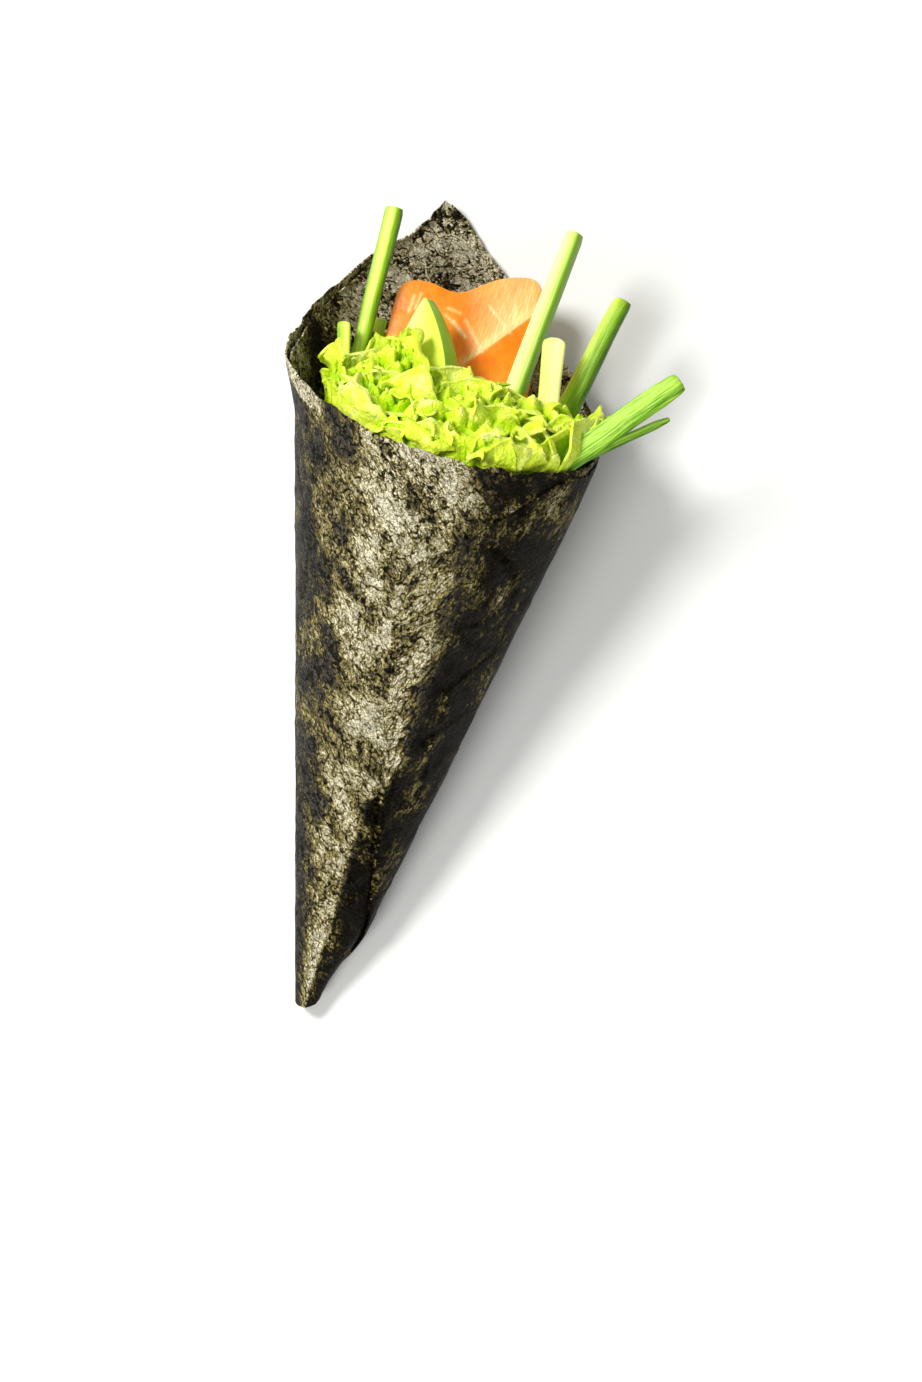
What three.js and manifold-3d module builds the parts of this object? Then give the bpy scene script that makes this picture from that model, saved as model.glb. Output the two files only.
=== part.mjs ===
// Temaki hand roll: a cone of rolled nori, filled with lettuce, salmon, avocado and vegetable sticks.
// Units are millimetres and +Z is up. The roll lies on its back on a narrow flat strip, its tip
// towards -Y and its mouth towards +Y, with the side that is meant to be seen on top.
//
// All pieces are modelled in the roll's own frame, whose origin is the apex where the straight
// sides would meet, a little beyond the blunt tip. There y runs along the axis to the mouth,
// x to the right of it, and z up to the shown side. One nested group then lays the roll down.

import * as THREE from "three";
import { mergeVertices } from "three/addons/utils/BufferGeometryUtils.js";
import Module from "manifold-3d";

const wasm = await Module();
wasm.setup();

// ---------------------------------------------------------------- driving dimensions

const SIDE_ANGLE = 13.0;          // half angle of the cone across its width, degrees
const LEAN = 12.3;                // half angle through its depth: the axis rises by this much
const RAY_STEP = 6;               // degrees round the roll between two rays of the sheet
const SHEET_ROWS = 9;             // divisions along each ray
const ROW_CROWDING = 1.3;         // above 1, the rows lie closer together towards the tip

const NORI = {
  thickness: 0.4,
  pitch: 0.75,                    // one turn of sheet and the gap to the next
  unroll: 0.24,                   // degrees on the flat sheet for each degree round the roll
  topEdge: 120,                   // distance of the long top edge from the apex
  topFoot: 375,                   // turn angle where the top edge comes nearest to the apex
  bottomEdge: 15,                 // distance of the long bottom edge, whose middle is the tip
  bottomFoot: 332,
};

// Turn angles count from the shown side towards the right, from the outer end to the inner end.
const OUTER_END = -6;
const OUTER_CORNER = 198;
const INNER_CORNER = 552;
const INNER_END = 666;
const OUTER_END_TOP = 97.7;       // the outer end's top, and its rise for each degree of turn
const OUTER_END_RISE = 0.345;
const HIDDEN_TURN_DROP = 1.5;     // how far a turn's edge stays below the edge it lies against

const PINCH_FROM = 30;            // below this height the right side of the tip is pinched in
const PINCH_RATE = 0.15;
const PINCH_MOST = 1.5;

const SINK = 0.5;                 // how far the back of the cone is pressed flat
const LETTUCE_INSET = 2.3;        // clear of both turns of nori
const SOCKET_GAP = 0.8;           // room round each filling in the lettuce

// ---------------------------------------------------------------- materials

const paint = (color, roughness) => new THREE.MeshStandardMaterial({ color, roughness, metalness: 0 });
const NORI_FILM = paint(0x3a3524, 0.45);
const LETTUCE_LEAF = paint(0xd2f04a, 0.5);
const SALMON_FLESH = paint(0xff9a3c, 0.4);
const AVOCADO_FLESH = paint(0xd8ee62, 0.5);
const CUCUMBER_FLESH = paint(0xf2fa96, 0.4);
const CUCUMBER_GREEN = paint(0xc6e63c, 0.4);
const SCALLION_GREEN = paint(0x9ccc44, 0.4);

// ---------------------------------------------------------------- small helpers

const rad = THREE.MathUtils.degToRad;
const WIDTH_SLOPE = Math.tan(rad(SIDE_ANGLE));
const DEPTH_SLOPE = Math.tan(rad(LEAN));

// A closed triangle mesh from points and faces, turned right side out.
function solid(points, faces) {
  const at = (i) => new THREE.Vector3(...points[i]);
  let volume = 0;
  for (const [a, b, c] of faces) volume += at(a).dot(at(b).cross(at(c)));
  const index = faces.flatMap(([a, b, c]) => (volume < 0 ? [a, c, b] : [a, b, c]));
  const geometry = new THREE.BufferGeometry();
  geometry.setAttribute("position", new THREE.Float32BufferAttribute(points.flat(), 3));
  geometry.setIndex(index);
  geometry.computeVertexNormals();
  return geometry;
}

// The two triangles of each cell between two neighbouring rows of a grid of point numbers.
function strip(row, next, closed) {
  const faces = [];
  const cells = closed ? row.length : row.length - 1;
  for (let i = 0; i < cells; i += 1) {
    const j = (i + 1) % row.length;
    faces.push([row[i], row[j], next[j]], [row[i], next[j], next[i]]);
  }
  return faces;
}

// A solid through closed rings of points, each ring as long as the others, with a point at each end.
function skin(rings, firstPoint, lastPoint) {
  const points = [firstPoint, ...rings.flat(), lastPoint];
  const rows = rings.map((ring, k) => ring.map((_, i) => 1 + k * ring.length + i));
  const faces = [];
  for (let k = 0; k + 1 < rows.length; k += 1) faces.push(...strip(rows[k], rows[k + 1], true));
  const first = rows[0];
  const last = rows[rows.length - 1];
  first.forEach((p, i) => faces.push([0, first[(i + 1) % first.length], p]));
  last.forEach((p, i) => faces.push([points.length - 1, p, last[(i + 1) % last.length]]));
  return solid(points, faces);
}

// A round outline that turns into a rounded rectangle as the power grows.
function roundedSection(width, depth, power, sides) {
  return Array.from({ length: sides }, (_, i) => {
    const angle = (2 * Math.PI * (i + 0.5)) / sides;
    const c = Math.cos(angle);
    const s = Math.sin(angle);
    const size = (Math.abs(c) ** power + Math.abs(s) ** power) ** (-1 / power);
    return [0.5 * width * size * c, 0.5 * depth * size * s];
  });
}

function named(name, geometry, material) {
  const mesh = new THREE.Mesh(geometry, material);
  mesh.name = name;
  return mesh;
}

// ---------------------------------------------------------------- nori

// Slant height of a straight edge of the flat sheet, once the sheet is rolled round the apex.
const edge = (distance, foot, turn) => distance / Math.cos(rad(NORI.unroll * (turn - foot)));
const bottomEdge = (turn) => edge(NORI.bottomEdge, NORI.bottomFoot, turn);

// The long top edge runs from corner to corner. The outer end climbs slantwise from its low corner
// until it lies just below the next turn's edge, and the inner end lies just below the first's.
function topEdge(turn) {
  const top = (t) => edge(NORI.topEdge, NORI.topFoot, t);
  if (turn < OUTER_CORNER) {
    const slanting = OUTER_END_TOP + OUTER_END_RISE * (turn - OUTER_END);
    return Math.min(slanting, top(turn + 360) - HIDDEN_TURN_DROP);
  }
  if (turn > INNER_CORNER) return top(turn - 360) - HIDDEN_TURN_DROP;
  return top(turn);
}

const insetOf = (turn) => (NORI.pitch * (turn - OUTER_END)) / 360;
const FLOOR = insetOf(180) * Math.cos(rad(LEAN)) + SINK;

// The lowest z that keeps a point of the roll's frame the given height over the floor.
const floorZ = (y, height) => (FLOOR + height - y * Math.sin(rad(LEAN))) / Math.cos(rad(LEAN));

// A point of the cone, inset from its outer surface, with the pinched tip.
function conePoint(angle, y, inset) {
  const halfWidth = WIDTH_SLOPE * y - inset;
  const halfDepth = DEPTH_SLOPE * y - inset;
  const x = halfWidth * Math.sin(rad(angle));
  const pinch = THREE.MathUtils.clamp(PINCH_RATE * (PINCH_FROM - y), 0, PINCH_MOST);
  const share = 0.5 * (1 + Math.sin(rad(angle)));
  return [x - pinch * share, y, halfDepth * Math.cos(rad(angle))];
}

function sheetPoint(turn, slant, depth) {
  const sideways = WIDTH_SLOPE * Math.sin(rad(turn));
  const frontwards = DEPTH_SLOPE * Math.cos(rad(turn));
  const along = slant / Math.hypot(1, sideways, frontwards);
  const [x, y, z] = conePoint(turn, along, insetOf(turn) + depth);
  const turnsInside = Math.round((turn - 180) / 360);
  return [x, y, Math.max(z, floorZ(y, turnsInside * NORI.pitch + depth))];
}

function noriGeometry() {
  const points = [];
  const grid = [0, NORI.thickness].map((depth) => {
    const columns = [];
    for (let turn = OUTER_END; turn <= INNER_END; turn += RAY_STEP) {
      const bottom = bottomEdge(turn);
      const rise = topEdge(turn) - bottom;
      const column = [];
      for (let row = 0; row <= SHEET_ROWS; row += 1) {
        column.push(points.length);
        points.push(sheetPoint(turn, bottom + rise * (row / SHEET_ROWS) ** ROW_CROWDING, depth));
      }
      columns.push(column);
    }
    return columns;
  });
  const [outer, inner] = grid;
  const faces = [];
  for (let c = 0; c + 1 < outer.length; c += 1) {
    faces.push(...strip(outer[c], outer[c + 1], false));
    faces.push(...strip(inner[c + 1], inner[c], false));
  }
  const bottomOf = (columns) => columns.map((column) => column[0]);
  const topOf = (columns) => columns.map((column) => column[SHEET_ROWS]);
  faces.push(...strip(bottomOf(outer), bottomOf(inner), false));
  faces.push(...strip(topOf(inner), topOf(outer), false));
  faces.push(...strip(inner[0], outer[0], false));
  faces.push(...strip(outer[outer.length - 1], inner[inner.length - 1], false));
  return solid(points, faces);
}

// ---------------------------------------------------------------- sticks, stalks and leaves

const STICK_SIDES = 12;

// A stick along its own +Y, through sections given as [share of the length, width, depth].
// Its ends are cut square, with a slight bulge.
function stickGeometry({ length, sections, power, bulge = 0.25 }) {
  const rings = sections.map(([share, width, depth]) =>
    roundedSection(width, depth, power, STICK_SIDES).map(([x, z]) => [x, share * length, z]));
  return skin(rings, [0, -bulge, 0], [0, length + bulge, 0]);
}

// Places a stick in the roll's frame from its foot, hidden in the filling, to its free end.
function stick(name, material, { foot, end, twist = 0, ...shape }) {
  const from = new THREE.Vector3(...foot);
  const along = new THREE.Vector3(...end).sub(from);
  const mesh = named(name, stickGeometry({ length: along.length(), ...shape }), material);
  const yAxis = along.normalize();
  const xAxis = new THREE.Vector3().crossVectors(yAxis, new THREE.Vector3(0, 0, 1)).normalize();
  const zAxis = new THREE.Vector3().crossVectors(xAxis, yAxis);
  mesh.position.copy(from);
  mesh.quaternion.setFromRotationMatrix(new THREE.Matrix4().makeBasis(xAxis, yAxis, zAxis));
  mesh.rotateY(rad(twist));
  return mesh;
}

const STALK = 2.6;                // section powers: a round stalk, a flat leaf and a cut baton
const LEAF = 4;
const BATON = 7;

const sticks = [
  stick("scallion_left", SCALLION_GREEN, {
    foot: [-18.4, 104, -4.5],
    end: [-18.3, 156.6, -11],
    power: STALK,
    sections: [[0, 2.8, 2.8], [0.45, 2.8, 2.8], [1, 3.4, 3.2]],
  }),
  stick("scallion_right", SCALLION_GREEN, {
    foot: [14.3, 105, -3.3],
    end: [25.1, 150, -8],
    power: STALK,
    sections: [[0, 4.2, 3.6], [0.4, 4.8, 3.8], [0.58, 4, 3.6], [1, 3.3, 3.2]],
  }),
  stick("leaf_wide", SCALLION_GREEN, {
    foot: [10.4, 108.3, 10.3],
    end: [37.7, 138.8, 10.3],
    power: LEAF,
    sections: [[0, 3.6, 1.2], [0.35, 4.2, 1.3], [0.9, 4.2, 1.3], [1, 3.6, 1.2]],
  }),
  stick("leaf_thin", SCALLION_GREEN, {
    foot: [13, 112.6, 7],
    end: [37.4, 132, 7],
    power: LEAF,
    sections: [[0, 1.4, 1], [0.6, 1.6, 1.2], [0.92, 1.5, 1.2], [1, 0.9, 0.8]],
  }),
  stick("cucumber_long", CUCUMBER_FLESH, {
    foot: [5.5, 95, -0.1],
    end: [14.1, 159.6, -10.5],
    power: BATON,
    twist: -24,
    sections: [[0, 3.7, 2.9], [0.6, 3.4, 2.8], [1, 2.9, 2.8]],
  }),
  stick("cucumber_short", CUCUMBER_FLESH, {
    foot: [18.6, 112, 3.2],
    end: [15.1, 140.3, -1],
    power: BATON,
    bulge: 0.8,
    sections: [[0, 3.6, 3.2], [0.75, 3.8, 3.3], [1, 4.1, 3.2]],
  }),
  stick("cucumber_left", CUCUMBER_GREEN, {
    foot: [-17, 113, -1],
    end: [-22.2, 134.9, -3],
    power: BATON,
    sections: [[0, 2.2, 1.8], [1, 2.3, 1.8]],
  }),
  stick("cucumber_chip", CUCUMBER_FLESH, {
    foot: [-16.2, 113, -11.2],
    end: [-16.6, 136.7, -12.2],
    power: BATON,
    sections: [[0, 2.8, 1.6], [1, 3, 1.6]],
  }),
];

// ---------------------------------------------------------------- salmon

// A thick slice with rounded corners. It leans back, its top edge sags on the left, and a soft
// ridge crosses its front from low left to high right.
const SALMON = {
  left: -14.6,
  footRight: 12.5,
  topRight: 11.2,
  rightBulge: 3,
  footY: 107,
  footZ: -6.8,
  thickness: 6,
  lean: 0.27,                     // how far it leans back for each millimetre up
  top: { y: 148.2, slope: 0.26 },
  sag: { x: -3.6, depth: 2.6, spread: 4.6 },
  ridge: { x: -0.6, y: 131.4, slope: 1.14, height: 1.1, spread: 5 },
  cornerPower: 9,
};

const hump = (distance, spread) => Math.exp(-((distance / spread) ** 2));

function salmonGeometry() {
  const { footY, footZ, thickness, lean, top, sag, ridge } = SALMON;
  const spokes = 40;
  const ringShares = [0.3, 0.6, 0.84, 0.95, 1];
  const place = (u, v, side, share) => {
    const bulge = SALMON.rightBulge * v * (1 - v);
    const right = THREE.MathUtils.lerp(SALMON.footRight, SALMON.topRight, v) + bulge;
    const x = THREE.MathUtils.lerp(SALMON.left, right, u);
    const topY = top.y + top.slope * x - sag.depth * hump(x - sag.x, sag.spread);
    const y = THREE.MathUtils.lerp(footY, topY, v);
    const middle = footZ - lean * (y - footY);
    const pillow = Math.sqrt(Math.max(0, 1 - share ** 6));
    const fromRidge = (y - ridge.y) - ridge.slope * (x - ridge.x);
    const raised = side > 0 ? ridge.height * hump(fromRidge, ridge.spread) * (1 - share ** 4) : 0;
    return [x, y, middle + side * 0.5 * thickness * pillow + raised];
  };
  const ring = (side, share) => roundedSection(2, 2, SALMON.cornerPower, spokes).map(([a, b]) =>
    place(0.5 + 0.5 * a * share, 0.5 + 0.5 * b * share, side, share));
  const front = ringShares.map((share) => ring(1, share));
  const back = ringShares.slice(0, -1).map((share) => ring(-1, share)).reverse();
  return skin([...front, ...back], place(0.5, 0.5, 1, 0), place(0.5, 0.5, -1, 0));
}

// ---------------------------------------------------------------- avocado

// A half-moon slice standing on end: its outer edge is an arc, its inner edge a flatter one.
const AVOCADO = {
  halfLength: 21.5,
  outerBulge: 10.5,
  innerBulge: 3,
  thickness: 4.8,
  bevel: 0.5,
  middle: [-9.2, 121.3, -2.2],
  yaw: -30,
  nod: -4,
};

// A half-moon between its two tips, each edge an arc through three points.
function halfMoon({ halfLength, outerBulge, innerBulge }) {
  const arcThrough = (bulge) => {
    const radius = (halfLength ** 2 + bulge ** 2) / (2 * bulge);
    return { radius, half: Math.asin(halfLength / radius) };
  };
  const outer = arcThrough(outerBulge);
  const inner = arcThrough(innerBulge);
  const shape = new THREE.Shape();
  shape.absarc(outerBulge - outer.radius, 0, outer.radius, -outer.half, outer.half, false);
  shape.absarc(inner.radius - innerBulge, 0, inner.radius, Math.PI - inner.half, Math.PI + inner.half, false);
  return shape;
}

function avocadoMesh() {
  const { bevel, thickness } = AVOCADO;
  const geometry = new THREE.ExtrudeGeometry(halfMoon(AVOCADO), {
    depth: thickness - 2 * bevel,
    bevelThickness: bevel,
    bevelSize: bevel,
    bevelOffset: -bevel,
    bevelSegments: 1,
    curveSegments: 12,
  });
  geometry.translate(0, 0, bevel - thickness / 2);
  const mesh = named("avocado", merged(geometry), AVOCADO_FLESH);
  mesh.position.set(...AVOCADO.middle);
  mesh.rotation.set(rad(AVOCADO.nod), rad(AVOCADO.yaw), 0, "YXZ");
  return mesh;
}

// ---------------------------------------------------------------- lettuce

// Shares its vertices between faces, so that the mesh counts as closed.
function merged(geometry) {
  const bare = geometry.clone();
  bare.deleteAttribute("normal");
  bare.deleteAttribute("uv");
  return mergeVertices(bare, 1e-4);
}

function toManifold(geometry) {
  const closed = merged(geometry);
  return new wasm.Manifold(new wasm.Mesh({
    numProp: 3,
    vertProperties: new Float32Array(closed.attributes.position.array),
    triVerts: new Uint32Array(closed.index.array),
  }));
}

function fromManifold(body) {
  const { vertProperties, triVerts } = body.getMesh();
  const geometry = new THREE.BufferGeometry();
  geometry.setAttribute("position", new THREE.BufferAttribute(vertProperties, 3));
  geometry.setIndex(new THREE.BufferAttribute(triVerts, 1));
  geometry.computeVertexNormals();
  return geometry;
}

// The mesh's shape in the roll's frame, swollen by the gap that its socket keeps round it.
function socket(mesh) {
  mesh.updateMatrix();
  const geometry = merged(mesh.geometry).applyMatrix4(mesh.matrix);
  geometry.computeVertexNormals();
  const { position, normal } = geometry.attributes;
  for (let i = 0; i < position.count; i += 1) {
    const out = new THREE.Vector3().fromBufferAttribute(normal, i).multiplyScalar(SOCKET_GAP);
    position.setXYZ(i, position.getX(i) + out.x, position.getY(i) + out.y, position.getZ(i) + out.z);
  }
  return toManifold(geometry);
}

// The heap of leaves: it follows the inside of the cone up to the rim, and rises over the rim to
// a bumpy top. It is low at the front and stands highest behind, on the left.
const HEAP = {
  footY: 22,
  footInset: 0.11,                // inset for each millimetre above the apex, down by the foot
  sideRows: [22, 45, 70, 95],
  lastRow: { front: 108, back: 114 },
  widestY: 124,
  front: 119.5,
  sides: 128.5,
  back: 126,
  middle: 130,
  bump: 1.5,
  overRim: 0.6,
  left: { rise: 7, at: -0.52, spread: 0.2 },        // place and spread as shares of the half width
  leftRoom: 1.8,                  // bare wall between the rim and the leaves, on the left
};

function heapPoint(angle, share) {
  const facing = Math.cos(rad(angle));
  const wall = facing > 0
    ? THREE.MathUtils.lerp(HEAP.sides, HEAP.front, facing ** 1.5)
    : THREE.MathUtils.lerp(HEAP.sides, HEAP.back, -facing);
  const bump = HEAP.bump * Math.sin(rad(6 * angle) + 9 * share) * Math.cos(rad(4 * angle) - 14 * share);
  const rise = 1 - share ** 2.6;
  const { left } = HEAP;
  const behind = 1 - THREE.MathUtils.smoothstep(share * facing, -0.1, 0.5);
  const leftRise = left.rise * hump(share * Math.sin(rad(angle)) - left.at, left.spread) * behind;
  const y = wall + (HEAP.middle - wall) * rise + leftRise + bump * share;
  const room = HEAP.leftRoom * Math.max(0, -Math.sin(rad(angle)));
  const inset = LETTUCE_INSET + room + HEAP.overRim * Math.sin(rad(7 * angle));
  const [x, , z] = conePoint(angle, Math.min(y, HEAP.widestY), inset);
  return [share * x, y, Math.max(share * z, floorZ(y, LETTUCE_INSET))];
}

function lettuceGeometry(fillings) {
  const spokes = 44;
  const round = (make) => Array.from({ length: spokes }, (_, i) => make((360 * i) / spokes));
  const wallPoint = (angle, y) => {
    const [x, , z] = conePoint(angle, y, Math.min(LETTUCE_INSET, HEAP.footInset * y));
    return [x, y, Math.max(z, floorZ(y, LETTUCE_INSET))];
  };
  const sides = HEAP.sideRows.map((y) => round((angle) => wallPoint(angle, y)));
  const { front, back } = HEAP.lastRow;
  const lastRow = round((angle) =>
    wallPoint(angle, THREE.MathUtils.lerp(back, front, 0.5 + 0.5 * Math.cos(rad(angle)))));
  const top = [1, 0.9, 0.74, 0.56, 0.38, 0.2].map((share) => round((angle) => heapPoint(angle, share)));
  const heap = skin([...sides, lastRow, ...top], [0, HEAP.footY, 0], [0, HEAP.middle, 0]);
  const sockets = fillings.map(socket);
  const carved = sockets.reduce((body, hole) => body.subtract(hole), toManifold(heap));
  const pieces = carved.decompose().sort((a, b) => b.volume() - a.volume());
  return fromManifold(pieces[0]);
}

// ---------------------------------------------------------------- the roll, laid down

const salmon = named("salmon", salmonGeometry(), SALMON_FLESH);
const avocado = avocadoMesh();
const fillings = [salmon, avocado, ...sticks];

const roll = new THREE.Group();
roll.add(named("nori", noriGeometry(), NORI_FILM));
roll.add(named("lettuce", lettuceGeometry(fillings), LETTUCE_LEAF));
roll.add(...fillings);
roll.rotation.x = rad(LEAN);

// The origin is on the floor, below the middle of the whole roll.
const temaki = new THREE.Group();
temaki.add(roll);
temaki.updateMatrixWorld(true);
const bounds = new THREE.Box3().setFromObject(temaki, true);
const middle = bounds.getCenter(new THREE.Vector3());
roll.position.set(-middle.x, -middle.y, -FLOOR);

export default temaki;
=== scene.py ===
# %% [markdown]
# # A temaki hand roll
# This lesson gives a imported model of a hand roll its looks: a cone of toasted nori with a pointed
# flap, packed with frilly lettuce, a slice of salmon, a slice of avocado and a few green sticks.
# The model comes first, as a fixed frame. Every new piece is made where the frame says.

# %% Load the frame
import math

import bpy
import numpy as np
from mathutils import Matrix, Vector, noise


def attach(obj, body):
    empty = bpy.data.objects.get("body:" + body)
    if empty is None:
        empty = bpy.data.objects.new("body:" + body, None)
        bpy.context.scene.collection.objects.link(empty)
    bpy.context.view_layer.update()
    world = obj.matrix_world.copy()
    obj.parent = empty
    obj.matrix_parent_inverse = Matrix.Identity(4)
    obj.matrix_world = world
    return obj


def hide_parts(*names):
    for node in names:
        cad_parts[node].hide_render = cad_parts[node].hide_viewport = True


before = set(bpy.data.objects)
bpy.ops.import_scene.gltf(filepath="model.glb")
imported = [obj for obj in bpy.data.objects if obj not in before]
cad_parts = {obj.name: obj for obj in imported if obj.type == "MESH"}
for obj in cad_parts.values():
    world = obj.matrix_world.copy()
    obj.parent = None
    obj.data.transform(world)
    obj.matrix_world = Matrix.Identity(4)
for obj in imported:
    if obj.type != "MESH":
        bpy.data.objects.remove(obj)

for leftover in ("Cube", "Light", "Camera"):
    if leftover in bpy.data.objects:
        bpy.data.objects.remove(bpy.data.objects[leftover])
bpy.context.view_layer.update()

# %% [markdown]
# ## The roll's own frame
# A cone is easiest to think about from the point where its straight sides would meet. So every piece
# is worked out in millimetres in the roll's own frame: x to the right, y along the axis from that
# point to the mouth, z up to the shown side. The roll lies on its back, so its axis leans up a little,
# and one matrix lays all of it down in the frame's metres.

# %% Sizes and the matrix that lays the roll down
MM = 0.001
APEX = Vector((-4.782, -88.057, -0.879))      # where the straight sides would meet, in the frame
SIDE_ANGLE = math.radians(13.0)               # from the axis to the left and the right side
LEAN = math.radians(12.3)                     # from the axis to the back and the front, and to the floor
WIDTH_SLOPE = math.tan(SIDE_ANGLE)
DEPTH_SLOPE = math.tan(LEAN)
LAY_DOWN = Matrix.Scale(MM, 4) @ Matrix.Translation(APEX) @ Matrix.Rotation(LEAN, 4, "X")


def laid_down(points):
    """Points of the roll's frame, in millimetres, as points of the part's frame, in metres."""
    matrix = np.array(LAY_DOWN)
    return np.asarray(points) @ matrix[:3, :3].T + matrix[:3, 3]


print("tip of the cone would be at", [round(c, 4) for c in laid_down([(0, 0, 0)])[0]])

# %% [markdown]
# ## The camera
# The camera looks down on the lying roll with a long lens, leaning a little towards the tip, and it is
# turned so that the roll's left side runs straight up the picture.

# %% Make the camera
CAMERA_AIM = (APEX + Vector((13.2, 73.72, 25))) * MM
CAMERA_DISTANCE = 0.7
CAMERA_TILT = math.radians(5.8)               # from straight down, towards the tip
CAMERA_ROLL = math.radians(13.37)
CAMERA_LENS = 103.9

camera_data = bpy.data.cameras.new("camera")
camera_data.lens = CAMERA_LENS
camera_data.sensor_width = 36
camera = bpy.data.objects.new("camera", camera_data)
bpy.context.scene.collection.objects.link(camera)
camera_turn = Matrix.Rotation(CAMERA_TILT, 4, "X") @ Matrix.Rotation(CAMERA_ROLL, 4, "Z")
camera.matrix_world = (
    Matrix.Translation(CAMERA_AIM) @ camera_turn @ Matrix.Translation((0, 0, CAMERA_DISTANCE))
)
bpy.context.scene.camera = camera
bpy.context.scene.view_settings.view_transform = "Standard"
print("camera at", tuple(round(c, 3) for c in camera.matrix_world.translation))

# %% [markdown]
# ## A helper for materials
# Every finish is a small tree of nodes around one Principled shader. One function adds a node with its
# settings and links, so that a tree reads like a list. Colours are written as sRGB hex values, as a
# colour picker shows them, and one function turns them to the linear values that shaders use.

# %% Helpers for materials
FACTOR, FIRST_COLOUR, SECOND_COLOUR, MIXED = 0, 6, 7, 2       # sockets of a colour Mix node


def linear(hex_colour, alpha=1.0):
    """An sRGB colour such as 0xFF9A3C as linear red, green, blue and alpha."""
    channels = [(hex_colour >> shift & 255) / 255 for shift in (16, 8, 0)]
    return [c / 12.92 if c <= 0.04045 else ((c + 0.055) / 1.055) ** 2.4 for c in channels] + [alpha]


def add_node(tree, kind, inputs=None, ramp=(), **settings):
    """Adds a shader node. An input is a value or another node's output, a ramp is (place, colour) pairs."""
    node = tree.nodes.new("ShaderNode" + kind)
    for name, value in settings.items():
        setattr(node, name, value)
    for name, value in (inputs or {}).items():
        if isinstance(value, bpy.types.NodeSocket):
            tree.links.new(value, node.inputs[name])
        else:
            node.inputs[name].default_value = value
    for number, (place, colour) in enumerate(ramp):
        elements = node.color_ramp.elements
        element = elements[number] if number < 2 else elements.new(place)
        element.position = place
        element.color = linear(colour)
    return node


def new_material(name, **sockets):
    """A material with one Principled shader, and the values that are the same all over."""
    material = bpy.data.materials.new(name)
    material.use_nodes = True
    tree = material.node_tree
    shader = next(node for node in tree.nodes if node.type == "BSDF_PRINCIPLED")
    for socket, value in sockets.items():
        shader.inputs[socket.replace("_", " ")].default_value = value
    return material, tree, shader


def own_place(tree):
    """The piece's own coordinates, which its modelling code stored on its points."""
    return add_node(tree, "Attribute", attribute_name="own").outputs["Vector"]


def weighted_sum(tree, start, *terms):
    """The start plus every (output, weight) term. The start and the weights are values or outputs."""
    total = start
    for output, weight in terms:
        step = add_node(tree, "Math", {0: output, 1: weight, 2: total}, operation="MULTIPLY_ADD")
        total = step.outputs["Value"]
    return total


def bumped(tree, shader, heights):
    """Chains bumps, each given as (height output, real height in millimetres), into the shader.

    A negative height presses in.
    """
    normal = None
    for height, millimetres in heights:
        inputs = {"Height": height, "Distance": abs(millimetres) * MM, "Strength": 1.0}
        if normal is not None:
            inputs["Normal"] = normal
        normal = add_node(tree, "Bump", inputs, invert=millimetres < 0).outputs["Normal"]
    tree.links.new(normal, shader.inputs["Normal"])


print("colour test: 0xFFFFFF is", linear(0xFFFFFF))

# %% [markdown]
# ## Nori: pressed and toasted laver
# Nori is a mat of tiny seaweed fronds, pressed and dried on a bamboo mat and then toasted. Its ground
# is black, turned grey by a painted sheen where it would reflect light, and where the mat is worn or thin
# it shows brown, golden and cream clumps. The pattern follows the flat sheet in millimetres: clumps of
# 6.5 mm that break up into ever smaller ones, fronds of 0.6 mm and fine wrinkles, all drawn out in one
# direction, as the fronds lay in the mat. The wrinkles are painted darker, as shade in their creases.
# Two values are stored on the sheet's points. The own z coordinate says how worn and lit the sheet is,
# from 0 where it is plain to 1 where it is mostly gold and cream: it is wear, and also a painted
# highlight where the light falls and painted shade where the sheet turns away. It goes beyond 1 on the
# inner face, where it brightens the shaded flap as painted light and the marks get more contrast, which
# paints the shade and highlights of its crumples. The other value says how much painted sheen turns the
# ground grey, from 0 to 1. A toasted sheet is dry with a soft warm sheen, so it is half rough and
# reflects little.

# %% Nori material
FROND_STRETCH, FROND_TURN = 1.6, math.radians(-45)
# wavelengths of the patterns, in millimetres
CLUMP_SIZE, FROND_SIZE, FOLD_SIZE, FINE_FOLD_SIZE, CRUMPLE_SIZE = 6.5, 0.6, 2.0, 0.8, 3.0


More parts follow.
